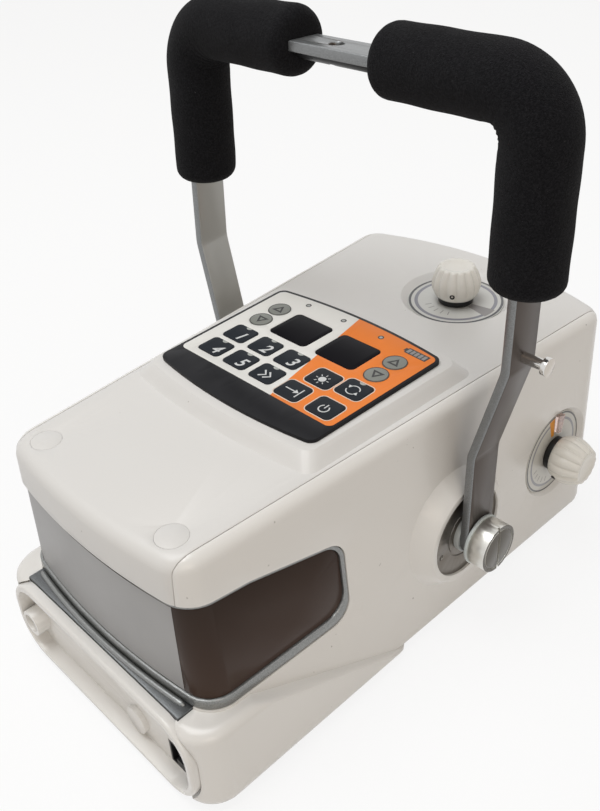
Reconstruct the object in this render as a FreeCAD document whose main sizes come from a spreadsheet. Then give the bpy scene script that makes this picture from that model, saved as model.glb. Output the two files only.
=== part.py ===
import FreeCAD, Part
import math
import os

import Sketcher

# Portable x-ray generator: hand-carried unit with a swinging carry handle.
# Frame: +Y is the beam end, -Y the rear, +X the right side seen from behind, Z up from the floor.

# Driving dimensions in millimetres
SIZES = {
    # housing form, wider at the floor and at the beam end
    "housing_base": 3.0, "housing_top": 165.5, "wall": 4.0, "tail": 172.0, "nose": 171.0,
    "tail_bow": 8.0, "nose_bow": 20.0, "low_half_tail": 95.5, "low_half_nose": 105.0,
    "high_half_tail": 80.0, "high_half_nose": 104.0, "tail_corner": 20.0, "nose_corner": 18.0,
    "shoulder_round": 8.0, "keel_round": 7.0,
    # flared skirt round the rear of the base
    "skirt_tail": 189.0, "skirt_front": 24.0, "skirt_top": 63.2, "skirt_sweep": 148.0,
    "skirt_half_tail": 99.5, "skirt_half_front": 102.5, "skirt_lean": 2.0, "skirt_bow": 1.5,
    "skirt_corner": 20.0, "skirt_front_corner": 4.0, "skirt_round": 6.0,
    # top cover and its parting line
    "seam_half": 85.0, "seam_taper": 0.069, "seam_gap": 0.5, "cover_skirt": 138.0,
    "plug_radius": 9.0, "plug_x": 58.5, "plug_y": 158.5, "plug_depth": 1.5,
    # raised keypad platform
    "platform_top": 173.6, "platform_tail": 74.0, "platform_nose": 47.0, "platform_half_tail": 70.5,
    "platform_half_nose": 76.5, "platform_slope": 8.0, "platform_bow": 6.5, "platform_round": 8.0,
    "platform_wall": 4.0,
    # keypad plate, keys and displays
    "plate_half_tail": 67.3, "plate_half_nose": 69.9, "plate_tail": 68.0, "plate_nose": 41.0,
    "plate_bow": 6.0, "plate_thick": 2.4, "plate_corner": 6.0, "key_width": 19.0, "key_depth": 16.6,
    "key_corner": 3.0, "key_thick": 1.5, "key_proud": 0.3, "key_gap": 0.3, "key_pitch_x": 23.7,
    "key_pitch_y": 20.6, "key_col": 47.1, "key_row": 18.0, "round_key_radius": 7.6,
    "round_key_x": 50.5, "round_key_y": 3.0, "round_key_pitch": 17.0, "lamp_key_x": 29.9,
    "lamp_key_y": 20.4, "store_key_x": 25.0, "low_key_y": 41.0, "right_key_x": 51.2,
    "mode_key_y": 17.0, "display_width": 33.0, "display_depth": 29.0, "display_corner": 4.0,
    "display_gap": 0.3, "display_x": 20.4, "display_y": 10.6,
    # wrap-around smoked window and its metal-look trim
    "window_front": 70.0, "window_low": 71.5, "window_high": 134.0, "window_shoulder": 134.0,
    "window_fall": 0.22, "window_rise": 0.1, "window_corner": 14.0, "window_inset": 1.8,
    "trim_low": 64.6, "trim_gap": 0.3, "trim_inset": 0.4, "trim_front": 3.5, "trim_top": 1.8,
    "ledge_half": 75.7, "ledge_low": 61.0, "ledge_high": 64.3, "ledge_rear": 184.5, "ledge_front": 173.5,
    # rear base panel with its recess and sockets
    "panel_half": 90.0, "panel_low": 3.4, "panel_high": 63.2, "panel_corner": 25.0, "panel_round": 2.0,
    "panel_front": 177.0, "panel_rear": 191.0, "panel_rim": 4.5, "recess_depth": 9.0,
    "panel_gap": 0.4, "socket_x": 68.0, "socket_z": 18.6, "socket_width": 23.0, "socket_height": 19.0,
    "socket_wall": 1.6, "socket_depth": 12.0, "latch_width": 12.0, "latch_height": 4.0,
    "boss_x": 76.0, "boss_z": 27.0, "boss_radius": 9.0, "boss_bore": 6.5,
    "disc_x": 28.0, "disc_z": 20.0, "disc_radius": 9.0, "disc_proud": 3.0,
    # beam end
    "beam_z": 78.0, "nose_panel_half": 64.0, "nose_panel_low": 22.0, "nose_panel_high": 134.0,
    "nose_panel_corner": 16.0, "beam_window_half": 37.0,
    # floor feet
    "foot_radius": 9.0, "foot_x": 68.0, "foot_tail": 140.0, "foot_nose": 140.0,
    # handle and its pivots
    "pivot_y": 24.0, "pivot_z": 72.0, "pivot_boss_low": 46.0, "pivot_boss_high": 35.0,
    "pivot_boss_back": 94.0, "pivot_boss_face": 106.5, "ring_radius": 31.0, "ring_play": 0.05,
    "ring_depth": 6.0, "ring_sunk": 1.5, "groove_radius": 18.0, "groove_width": 1.2, "groove_depth": 0.8,
    "shaft_radius": 8.0, "shaft_end": 88.0, "spacer_radius": 13.0, "arm_x": 112.0,
    "arm_out_x": 129.0, "strip_thick": 6.0, "strip_width": 24.0, "joggle_low": 66.0,
    "joggle_high": 130.0, "handle_height": 279.0, "handle_bend": 24.0, "handle_lean": 2.6,
    "pivot_play": 0.05, "side_play": 0.3, "washer_radius": 16.6, "washer_thick": 2.0,
    "cap_radius": 16.0, "cap_thick": 12.0, "slot_width": 1.6, "slot_depth": 1.2, "spanner_hole": 2.0,
    "spanner_circle": 24.5, "grip_radius": 20.5, "grip_low": 176.0, "grip_end": 31.0,
    "grip_round": 8.0, "liner_thick": 6.0, "liner_width": 16.0, "bar_hole_radius": 4.5,
    "bar_hole_x": 5.0, "stud_height": 137.0, "stud_radius": 3.2, "stud_length": 13.0,
    "stud_head": 5.2, "stud_head_thick": 3.0,
    # collimator dials and knobs
    "dial_x": 16.0, "dial_y": 125.0, "dial_radius": 33.0, "dial_dish": 38.5, "dial_depth": 4.5,
    "dial_thick": 1.0, "side_dial_y": 127.0, "side_dial_z": 71.0, "side_dial_radius": 31.0,
    "side_dish": 35.0, "side_dial_face": 100.0, "dial_boss_back": 94.0, "knob_radius": 14.5,
    "knob_top": 11.5, "knob_height": 22.0, "flute_radius": 2.2, "collar_radius": 12.0,
    "collar_height": 4.4, "spindle_radius": 4.0, "spindle_play": 0.08,
    # collimator
    "frame_half": 46.0, "frame_rear": 100.0, "frame_front": 138.0, "frame_top": 126.0,
    "beam_half": 30.0, "shutter_thick": 3.0, "shutter_width": 28.0, "shutter_long": 72.0,
    "shutter_gap": 0.4, "shutter_open": 16.0, "mirror_length": 38.0, "mirror_thick": 1.5,
    "lamp_radius": 9.0, "lamp_length": 14.0,
    # inner parts on the chassis plate
    "chassis_half": 80.0, "chassis_rear": 160.0, "chassis_front": 150.0, "chassis_thick": 3.0,
    "tank_half": 58.0, "tank_rear": 26.0, "tank_front": 88.0, "tank_height": 106.0,
    "tank_wall": 4.0, "tank_lid": 4.0, "block_round": 4.0, "tube_radius": 19.0,
    "tube_neck": 9.0, "tube_neck_length": 22.0, "transformer_half": 42.0, "battery_half": 56.0,
    "battery_rear": 152.0, "battery_front": 40.0, "battery_height": 62.0, "board_thick": 1.6,
    "board_lift": 22.0, "board_half": 50.0, "standoff_radius": 3.0, "standoff_inset": 6.0,
}

doc = FreeCAD.newDocument("xray_generator")
sheet = doc.addObject("Spreadsheet::Sheet", "Sizes")


class Size:
    """A number together with the spreadsheet formula that gives it."""

    def __init__(self, value, formula):
        self.value = float(value)
        self.formula = formula

    def __float__(self):
        return self.value

    def __add__(self, other):
        other = as_size(other)
        return Size(self.value + other.value, f"({self.formula} + {other.formula})")

    def __sub__(self, other):
        other = as_size(other)
        return Size(self.value - other.value, f"({self.formula} - {other.formula})")

    def __mul__(self, other):
        other = as_size(other)
        return Size(self.value * other.value, f"({self.formula} * {other.formula})")

    def __truediv__(self, other):
        other = as_size(other)
        return Size(self.value / other.value, f"({self.formula} / {other.formula})")

    def __neg__(self):
        return Size(-self.value, f"(0 - {self.formula})")


def as_size(number):
    if isinstance(number, Size):
        return number
    return Size(number, f"({float(number)})")


class Sheet:
    """Reads a driving dimension by its name."""

    def __getattr__(self, name):
        return Size(sheet.get(name), f"Sizes.{name}")


for row, (alias, number) in enumerate(SIZES.items(), 1):
    sheet.set(f"A{row}", alias.replace("_", " "))
    sheet.set(f"B{row}", str(number))
    sheet.setAlias(f"B{row}", alias)
doc.recompute()
S = Sheet()

NODES = []


def keep(label, thing):
    """Name a finished piece and list it for writing."""
    thing.Label = label
    NODES.append(thing)
    return thing


def bind(thing, prop, size):
    thing.setExpression(prop, as_size(size).formula)


def place(thing, x=0, y=0, z=0, rotation=None):
    if rotation is not None:
        thing.Placement = FreeCAD.Placement(FreeCAD.Vector(0, 0, 0), rotation)
    for letter, size in zip("xyz", (x, y, z)):
        bind(thing, f"Placement.Base.{letter}", size)
    return thing


# Rotations that carry a piece's own Z axis onto X, minus X or Y
ONTO_X = FreeCAD.Rotation(FreeCAD.Vector(0, 1, 0), 90)
ONTO_MINUS_X = FreeCAD.Rotation(FreeCAD.Vector(0, 1, 0), -90)
ONTO_Y = FreeCAD.Rotation(FreeCAD.Vector(1, 0, 0), -90)


# Part primitives and booleans

def box(name, low, size):
    thing = doc.addObject("Part::Box", name)
    for prop, length in zip(("Length", "Width", "Height"), size):
        bind(thing, prop, length)
    return place(thing, *low)


def cylinder(name, radius, height, x=0, y=0, z=0, rotation=None):
    thing = doc.addObject("Part::Cylinder", name)
    bind(thing, "Radius", radius)
    bind(thing, "Height", height)
    return place(thing, x, y, z, rotation)


def cone(name, radius_low, radius_high, height, x=0, y=0, z=0, rotation=None):
    thing = doc.addObject("Part::Cone", name)
    bind(thing, "Radius1", radius_low)
    bind(thing, "Radius2", radius_high)
    bind(thing, "Height", height)
    return place(thing, x, y, z, rotation)


def fuse(name, *pieces):
    thing = doc.addObject("Part::MultiFuse", name)
    thing.Shapes = list(pieces)
    return thing


def common(name, *pieces):
    thing = doc.addObject("Part::MultiCommon", name)
    thing.Shapes = list(pieces)
    return thing


def cut(name, base, *tools):
    thing = doc.addObject("Part::Cut", name)
    thing.Base = base
    thing.Tool = tools[0] if len(tools) == 1 else fuse(name + "_tools", *tools)
    return thing


def mirrored(name, source):
    """The same piece on the other side of the X = 0 plane."""
    thing = doc.addObject("Part::Mirroring", name)
    thing.Source = source
    thing.Normal = FreeCAD.Vector(1, 0, 0)
    return thing


# PartDesign bodies

def new_body(name):
    return doc.addObject("PartDesign::Body", name)


def new_sketch(body, plane, name, offset=0):
    sketch = body.newObject("Sketcher::SketchObject", name)
    support = [f for f in body.Origin.OriginFeatures if f.Role == plane][0]
    sketch.AttachmentSupport = [(support, "")]
    sketch.MapMode = "FlatFace"
    bind(sketch, "AttachmentOffset.Base.z", offset)
    return sketch


def tie(sketch, kind, geometry, point, size):
    """Hold a sketch point at a distance from the sketch's origin."""
    constraint = Sketcher.Constraint(kind, -1, 1, geometry, point, float(size))
    index = sketch.addConstraint(constraint)
    bind(sketch, f"Constraints[{index}]", size)


def join_ends(sketch, count):
    for i in range(count):
        sketch.addConstraint(Sketcher.Constraint("Coincident", i, 2, (i + 1) % count, 1))


def polygon(sketch, corners):
    """A closed outline of straight lines through (across, up) sizes."""
    points = [FreeCAD.Vector(float(a), float(b), 0) for a, b in corners]
    for i, point in enumerate(points):
        sketch.addGeometry(Part.LineSegment(point, points[(i + 1) % len(points)]), False)
    join_ends(sketch, len(points))
    for i, (across, up) in enumerate(corners):
        tie(sketch, "DistanceX", i, 1, across)
        tie(sketch, "DistanceY", i, 1, up)


def circle(sketch, radius, across=0, up=0):
    centre = FreeCAD.Vector(float(across), float(up), 0)
    index = sketch.addGeometry(Part.Circle(centre, FreeCAD.Vector(0, 0, 1), float(radius)), False)
    constraint = sketch.addConstraint(Sketcher.Constraint("Radius", index, float(radius)))
    bind(sketch, f"Constraints[{constraint}]", radius)
    tie(sketch, "DistanceX", index, 3, across)
    tie(sketch, "DistanceY", index, 3, up)


def bow_circle(half, depth, bow):
    """Centre height and radius of the arc that bulges by the bow beyond an end of given half width."""
    radius = (half * half + bow * bow) / (2 * bow)
    return depth + bow - radius, radius


def corner_arc(line_start, line_end, centre_y, bow_radius, corner):
    """Tangent points and middle of the round between a side line and the bowed end."""
    along_line = (line_end - line_start).normalize()
    inward = FreeCAD.Vector(-along_line.y, along_line.x, 0)
    if inward.x > 0:
        inward = inward * -1
    bow_centre = FreeCAD.Vector(0, centre_y, line_start.z)
    start = line_start + inward * corner - bow_centre
    half_b = start.dot(along_line)
    reach = math.sqrt(half_b * half_b - start.dot(start) + (bow_radius - corner) ** 2)
    centre = bow_centre + start + along_line * (reach - half_b)
    on_line = centre - inward * corner
    outward = (centre - bow_centre).normalize()
    on_bow = bow_centre + outward * bow_radius
    middle = centre + (outward - inward).normalize() * corner
    return on_line, middle, on_bow


def flip(point):
    return FreeCAD.Vector(-point.x, point.y, point.z)


def plan_wire(height, half_tail, half_nose, tail, nose, tail_bow, nose_bow, tail_corner, nose_corner):
    """Plan view of a tapered form: straight sides, bowed ends and round corners."""
    rear = FreeCAD.Vector(half_tail, -tail, height)
    front = FreeCAD.Vector(half_nose, nose, height)
    nose_y, nose_radius = bow_circle(half_nose, nose, nose_bow)
    tail_y, tail_radius = bow_circle(half_tail, tail, tail_bow)
    nose_points = corner_arc(rear, front, nose_y, nose_radius, nose_corner)
    tail_points = corner_arc(front, rear, -tail_y, tail_radius, tail_corner)
    nose_tip = FreeCAD.Vector(0, nose + nose_bow, height)
    tail_tip = FreeCAD.Vector(0, -tail - tail_bow, height)
    edges = [
        Part.LineSegment(tail_points[0], nose_points[0]),
        Part.Arc(*nose_points),
        Part.Arc(nose_points[2], nose_tip, flip(nose_points[2])),
        Part.Arc(*[flip(p) for p in reversed(nose_points)]),
        Part.LineSegment(flip(nose_points[0]), flip(tail_points[0])),
        Part.Arc(*[flip(p) for p in tail_points]),
        Part.Arc(flip(tail_points[2]), tail_tip, tail_points[2]),
        Part.Arc(*reversed(tail_points)),
    ]
    return Part.Wire([edge.toShape() for edge in edges])


ROUND_STEPS = 4


def rounded_levels(base, top, low_round, high_round):
    """Heights and insets of the outlines that round a form's lower and upper rims."""
    turns = [math.pi / 2 * i / ROUND_STEPS for i in range(ROUND_STEPS + 1)]
    lower = [(base + low_round * (1 - math.cos(a)), low_round * (1 - math.sin(a))) for a in turns]
    upper = [(top - high_round * (1 - math.sin(a)), high_round * (1 - math.cos(a))) for a in turns]
    return (lower if low_round else lower[:1]) + (upper if high_round else upper[-1:])


def pad(body, sketch, length, name="pad", down=False):
    feature = body.newObject("PartDesign::Pad", name)
    feature.Profile = sketch
    feature.Reversed = down
    bind(feature, "Length", length)
    return feature


def revolve(body, sketch, name="turned"):
    """Turn a profile that is drawn in the XZ plane about the body's own Z axis."""
    feature = body.newObject("PartDesign::Revolution", name)
    feature.Profile = sketch
    feature.ReferenceAxis = (sketch, ["V_Axis"])
    feature.Angle = 360
    return feature


def round_edges(body, radius, wanted, name="rounded"):
    doc.recompute()
    base = body.Tip
    names = [f"Edge{i}" for i, edge in enumerate(base.Shape.Edges, 1) if wanted(edge)]
    feature = body.newObject("PartDesign::Fillet", name)
    feature.Base = (base, names)
    bind(feature, "Radius", radius)
    doc.recompute()
    return feature


def spans(edge, axis):
    """How far an edge reaches along one axis."""
    bounds = edge.BoundBox
    return (bounds.XLength, bounds.YLength, bounds.ZLength)["xyz".index(axis)]


def lies_at(height):
    def wanted(edge):
        return spans(edge, "z") < 0.01 and abs(edge.BoundBox.ZMin - float(height)) < 0.01
    return wanted


def along(axis):
    def wanted(edge):
        others = [a for a in "xyz" if a != axis]
        return spans(edge, axis) > 0.5 and all(spans(edge, a) < 0.001 for a in others)
    return wanted


def rounded_block(name, low, size, corner, plane_axis="z"):
    """A rectangular block whose four edges along one axis are rounded."""
    body = new_body(name)
    sketch = new_sketch(body, "XY_Plane", name + "_outline")
    width, depth, height = size
    polygon(sketch, [(as_size(0), as_size(0)), (as_size(width), as_size(0)),
                     (as_size(width), as_size(depth)), (as_size(0), as_size(depth))])
    pad(body, sketch, height, name + "_pad")
    round_edges(body, corner, along(plane_axis), name + "_corners")
    return place(body, *low)


# Housing forms: tapered lofts through plan outlines, wider at the floor and at the beam end

def add_form(name, shape):
    form = doc.addObject("Part::Feature", name)
    form.Shape = shape
    return form


def housing_form(name, inset, low_round=0, high_round=0):
    """The tapered housing, or a copy that lies inside it by the inset."""
    low, high = float(S.housing_base), float(S.housing_top)
    wires = []
    base = low if inset == 0 else low + float(S.wall)
    top = high if inset == 0 else high - float(S.wall)
    for height, rim in rounded_levels(base, top, low_round, high_round):
        share = (height - low) / (high - low)
        off = inset + rim
        half_tail = float(S.low_half_tail) + (float(S.high_half_tail) - float(S.low_half_tail)) * share
        half_nose = float(S.low_half_nose) + (float(S.high_half_nose) - float(S.low_half_nose)) * share
        wires.append(plan_wire(height, half_tail - off, half_nose - off, float(S.tail) - off,
                               float(S.nose) - off, float(S.tail_bow), float(S.nose_bow),
                               float(S.tail_corner) - off, float(S.nose_corner) - off))
    return add_form(name, Part.makeLoft(wires, True, True))


def skirt_shape():
    """The flared skirt, whose front end sweeps back as it rises."""
    low, high = float(S.housing_base), float(S.skirt_top)
    wires = []
    for height, rim in rounded_levels(low, high, float(S.keel_round), float(S.skirt_round)):
        share = (height - low) / (high - low)
        front = float(S.skirt_front) + (float(S.skirt_sweep) - float(S.skirt_front)) * share
        lean = float(S.skirt_lean) * share
        wires.append(plan_wire(height, float(S.skirt_half_tail) - lean - rim,
                               float(S.skirt_half_front) - lean - rim, float(S.skirt_tail) - rim, -front,
                               float(S.skirt_bow), float(S.skirt_bow), float(S.skirt_corner),
                               float(S.skirt_front_corner)))
    return Part.makeLoft(wires, True, True)


def platform_shape(top, foot, inset):
    """The raised keypad platform with its sloping sides."""
    wires = []
    for height, spread in ((foot, float(S.platform_slope)), (top, 0.0)):
        off = spread - inset
        wires.append(plan_wire(height, float(S.platform_half_tail) + off, float(S.platform_half_nose) + off,
                               float(S.platform_tail) + off, float(S.platform_nose) + off,
                               float(S.platform_bow), float(S.platform_bow),
                               float(S.platform_round), float(S.platform_round)))
    return Part.makeLoft(wires, True, True)


body_form = housing_form("body_form", 0, float(S.keel_round), float(S.shoulder_round))
glass_form = housing_form("glass_form", float(S.window_inset))
trim_form = housing_form("trim_form", float(S.trim_inset))
inner_form = housing_form("inner_form", float(S.wall))
skirt_form = add_form("skirt_form", skirt_shape())
outer_form = fuse("outer_form", body_form, skirt_form)

reach = S.tail + S.nose

# Zones that divide the housing wall into its covers
seam_rear_half = S.seam_half - S.seam_taper * reach
seam_front_half = S.seam_half + S.seam_taper * reach


def seam_zone(name, low, spread):
    """Everything above a height between the two straight parting lines of the top cover."""
    body = new_body(name)
    outline = new_sketch(body, "XY_Plane", name + "_outline", low)
    polygon(outline, [(-seam_rear_half - spread, -reach), (seam_rear_half + spread, -reach),
                      (seam_front_half + spread, reach), (-seam_front_half - spread, reach)])
    pad(body, outline, S.housing_top, name + "_pad")
    return body


cover_zone = seam_zone("cover_zone", S.cover_skirt, as_size(0))
cover_gap_zone = seam_zone("cover_gap_zone", S.cover_skirt - S.seam_gap, S.seam_gap)


def window_zone(name, low, front, drop):
    """A prism across the housing with the side outline of the wrap-around window."""
    body = new_body(name)
    outline = new_sketch(body, "YZ_Plane", name + "_outline", -reach)
    shoulder_high = S.window_high - drop
    front_high = shoulder_high - (S.window_shoulder - front) * S.window_fall
    rear_high = shoulder_high + (reach - S.window_shoulder) * S.window_rise
    polygon(outline, [(-reach, low), (-front, low), (-front, front_high),
                      (-S.window_shoulder, shoulder_high), (-reach, rear_high)])
    pad(body, outline, reach * 2, name + "_pad")
    round_edges(body, S.window_corner,
                lambda e: along("x")(e) and abs(e.BoundBox.YMin + float(front)) < 0.01, name + "_corners")
    return body


glass_front = S.window_front + S.trim_front
window_hole = window_zone("window_hole", S.trim_low, S.window_front, as_size(0))
trim_zone = window_zone("trim_zone", S.trim_low + S.trim_gap, S.window_front + S.trim_gap, S.trim_gap)
glass_hole = window_zone("glass_hole", S.window_low - S.trim_gap, glass_front - S.trim_gap, S.trim_top)
glass_zone = window_zone("glass_zone", S.window_low, glass_front, S.trim_top + S.trim_gap)

# Blocks that face the rear have their own Z axis turned onto minus Y
REARWARD = FreeCAD.Rotation(FreeCAD.Vector(1, 0, 0), 90)


def upright_block(name, half_width, low, high, near, far, corner, rim=None):
    """A block with round corners seen from the rear, from y = -near back to y = -far."""
    size = (half_width * 2, high - low, far - near)
    block = rounded_block(name, (0, 0, 0), size, corner)
    if rim is not None:
        round_edges(block, rim, lies_at(far - near), name + "_rim")
    return place(block, -half_width, -near, low, REARWARD)


panel_zone = upright_block("panel_zone", S.panel_half + S.panel_gap, as_size(0), S.trim_low,
                           S.panel_front - S.panel_gap, S.panel_rear * 2, S.panel_corner + S.panel_gap)
nose_start = -S.nose - S.nose_bow * 2
nose_end = -S.nose + S.nose_bow * 2
nose_hole = upright_block("nose_hole", S.nose_panel_half + S.panel_gap, S.nose_panel_low - S.panel_gap,
                          S.nose_panel_high + S.panel_gap, nose_start, nose_end,
                          S.nose_panel_corner + S.panel_gap)
nose_zone = upright_block("nose_zone", S.nose_panel_half, S.nose_panel_low, S.nose_panel_high,
                          nose_start, nose_end, S.nose_panel_corner)
socket_low = S.socket_z - S.socket_height / 2
socket_left = S.socket_x - S.socket_width / 2
shell_socket_hole = box("shell_socket_hole", (socket_left - S.socket_wall, -S.panel_rear, socket_low - S.socket_wall),
                        (S.socket_width + S.socket_wall * 2, S.socket_depth * 2, S.socket_height + S.socket_wall * 2))
ledge_deep = S.ledge_rear - S.ledge_front
ledge_hole = box("ledge_hole", (-S.ledge_half, -S.ledge_rear, S.ledge_low),
                 (S.ledge_half * 2, ledge_deep + S.trim_gap, S.panel_high))

# Moulded bosses for the handle pivot and the side dial
pivot_face = S.pivot_boss_face
boss_depth = S.pivot_boss_face - S.pivot_boss_back
pivot_boss = cone("pivot_boss", S.pivot_boss_low, S.pivot_boss_high, boss_depth,
                  S.pivot_boss_back, S.pivot_y, S.pivot_z, ONTO_X)
ring_pocket = cylinder("ring_pocket", S.ring_radius + S.ring_play, S.ring_depth + S.ring_sunk * 2,
                       pivot_face - S.ring_sunk - S.ring_depth, S.pivot_y, S.pivot_z, ONTO_X)
shaft_hole = cylinder("shaft_hole", S.shaft_radius + S.pivot_play, S.arm_x, 0, S.pivot_y, S.pivot_z, ONTO_X)
dial_boss = cylinder("dial_boss", S.side_dish + S.trim_gap, S.side_dial_face - S.dial_boss_back + S.trim_gap,
                     S.dial_boss_back, S.side_dial_y, S.side_dial_z, ONTO_X)
side_dish = cone("side_dish_cut", S.side_dial_radius + S.key_gap, S.side_dish + S.dial_depth, S.dial_depth * 2,
                 S.side_dial_face, S.side_dial_y, S.side_dial_z, ONTO_X)
side_spindle_hole = cylinder("side_spindle_hole", S.spindle_radius + S.spindle_play, S.arm_x, 0,
                             S.side_dial_y, S.side_dial_z, ONTO_X)


def side_shell(name, sign, extra, holes):
    """One half of the housing below the top cover."""
    wall_with_bosses = fuse(name + "_form", cut(name + "_wall", outer_form, inner_form), *extra)
    half_space = box(name + "_half", (0 if sign > 0 else -reach, -reach, 0), (reach, reach * 2, S.housing_top * 2))
    half = common(name + "_side", wall_with_bosses, half_space)
    return cut(name, half, cover_gap_zone, window_hole, panel_zone, nose_hole, ledge_hole, *holes)


keep("right_side_shell", side_shell("right_shell", 1, [pivot_boss, dial_boss],
                                    [ring_pocket, shaft_hole, side_dish, side_spindle_hole, shell_socket_hole]))
left_boss = mirrored("left_pivot_boss", pivot_boss)
left_pocket = mirrored("left_ring_pocket", ring_pocket)
left_shaft_hole = mirrored("left_shaft_hole", shaft_hole)
keep("left_side_shell", side_shell("left_shell", -1, [left_boss], [left_pocket, left_shaft_hole]))

# Top cover with the keypad platform and the dished seat of the upper dial
platform = add_form("platform", platform_shape(float(S.platform_top), float(S.housing_top) - 1, 0))
platform_core = add_form("platform_core", platform_shape(float(S.platform_top) - float(S.platform_wall),
                                                         float(S.housing_top) - float(S.wall) - 1,
                                                         float(S.platform_wall)))
dial_seat = cylinder("dial_seat", S.dial_dish, S.wall + 1, S.dial_x, S.dial_y,
                     S.housing_top - S.wall - S.dial_depth)
dial_dish = cone("dial_dish_cut", S.dial_radius + S.key_gap, S.dial_dish + S.dial_depth, S.dial_depth * 2,
                 S.dial_x, S.dial_y, S.housing_top - S.dial_depth)
top_spindle_hole = cylinder("top_spindle_hole", S.spindle_radius + S.spindle_play, S.housing_top,
                            S.dial_x, S.dial_y, 0)
plug_holes = [cylinder(f"plug_hole_{i}", S.plug_radius + S.key_gap / 2, S.plug_depth + 1, S.plug_x * side,
                       -S.plug_y, S.housing_top - S.plug_depth) for i, side in enumerate((-1, 1))]
body_shell = cut("body_shell", body_form, inner_form)
cover_wall = common("cover_wall", body_shell, cover_zone)
cover_form = fuse("cover_form", cover_wall, platform, dial_seat)
keep("top_cover", cut("cover", cover_form, platform_core, dial_dish, top_spindle_hole, *plug_holes))
plugs = [cylinder(f"plug_{i}", S.plug_radius, S.plug_depth, S.plug_x * side, -S.plug_y,
                  S.housing_top - S.plug_depth) for i, side in enumerate((-1, 1))]
keep("cover_plugs", fuse("plugs", *plugs))

# Smoked window round the rear, its metal-look trim and the ledge below it
window_shell = cut("window_shell", glass_form, inner_form)
window_wall = common("window_wall", window_shell, glass_zone)
keep("smoked_window", cut("window", window_wall, cover_gap_zone))
trim_wall = common("trim_wall", cut("trim_shell", trim_form, inner_form), cut("trim_ring", trim_zone, glass_hole))
keep("window_trim", cut("trim", trim_wall, cover_gap_zone))
keep("rear_ledge", box("ledge", (S.trim_gap - S.ledge_half, -S.ledge_rear + S.trim_gap, S.ledge_low),
                       (S.ledge_half * 2 - S.trim_gap * 2, ledge_deep - S.trim_gap, S.ledge_high - S.ledge_low)))

# Beam end: front panel with the clear beam window in its opening
beam_hole = box("beam_hole", (-S.beam_window_half, S.nose - S.nose_bow, S.beam_z - S.beam_window_half),
                (S.beam_window_half * 2, S.nose_bow * 4, S.beam_window_half * 2))
clear_half = S.beam_window_half - S.trim_gap
beam_zone = box("beam_zone", (-clear_half, S.nose - S.nose_bow, S.beam_z - clear_half),
                (clear_half * 2, S.nose_bow * 4, clear_half * 2))
keep("front_panel", cut("nose_panel", common("nose_wall", body_shell, nose_zone), beam_hole))
keep("beam_window", common("beam_plate", window_shell, beam_zone))

# Rear base panel: rounded rim, deep recess, hollow boss, round disc and charger socket
rear_block = upright_block("rear_block", S.panel_half, S.panel_low, S.panel_high, S.panel_front, S.panel_rear,
                           S.panel_corner, S.panel_round)
recess_floor = S.panel_rear - S.recess_depth
recess = upright_block("recess", S.panel_half - S.panel_rim, S.panel_low + S.panel_rim,
                       S.panel_high - S.panel_rim, recess_floor, S.panel_rear * 2,
                       S.panel_corner - S.panel_rim)
boss = cylinder("recess_boss", S.boss_radius, S.recess_depth, -S.boss_x, -recess_floor, S.boss_z, REARWARD)
boss_bore = cylinder("boss_bore", S.boss_bore, S.recess_depth * 2, -S.boss_x, -recess_floor, S.boss_z, REARWARD)
disc = cylinder("recess_disc", S.disc_radius, S.disc_proud, S.disc_x, -recess_floor, S.disc_z, REARWARD)
panel_socket_hole = box("panel_socket_hole", (socket_left, -S.panel_rear, socket_low),
                        (S.socket_width, S.socket_depth * 2, S.socket_height))
panel_bossed = fuse("panel_bossed", cut("panel_recessed", rear_block, recess), boss, disc)
keep("rear_base_panel", cut("rear_panel", panel_bossed, boss_bore, panel_socket_hole, ledge_hole))
socket_block = box("socket_block", (socket_left, -recess_floor, socket_low),
                   (S.socket_width, S.socket_depth, S.socket_height))
socket_cavity = box("socket_cavity", (socket_left + S.socket_wall, -recess_floor - 1, socket_low + S.socket_wall),
                    (S.socket_width - S.socket_wall * 2, S.socket_depth - S.socket_wall + 1,
                     S.socket_height - S.socket_wall * 2))
socket_tongue = box("socket_tongue", (S.socket_x - S.latch_width / 2, -recess_floor, socket_low + S.socket_wall),
                    (S.latch_width, S.socket_depth, S.latch_height))
keep("charger_socket", fuse("socket", cut("socket_open", socket_block, socket_cavity), socket_tongue))

# Floor feet
feet = [cylinder(f"foot_{i}", S.foot_radius, S.housing_base, S.foot_x * side, y)
        for i, (side, y) in enumerate(((-1, -S.foot_tail), (1, -S.foot_tail), (-1, S.foot_nose), (1, S.foot_nose)))]
keep("floor_feet", fuse("feet", *feet))

# Keypad plate, keys and displays
plate_top = S.platform_top + S.plate_thick
plate_form = add_form("plate_form", Part.makeLoft([
    plan_wire(float(height), float(S.plate_half_tail), float(S.plate_half_nose), float(S.plate_tail),
              float(S.plate_nose), float(S.plate_bow), float(S.plate_bow), float(S.plate_corner),
              float(S.plate_corner)) for height in (S.platform_top, plate_top)], True, True))
key_base = plate_top + S.key_proud - S.key_thick
next_col = S.key_pitch_x - S.key_col
third_col = S.key_pitch_x * 2 - S.key_col
lower_row = -S.key_row - S.key_pitch_y

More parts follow.
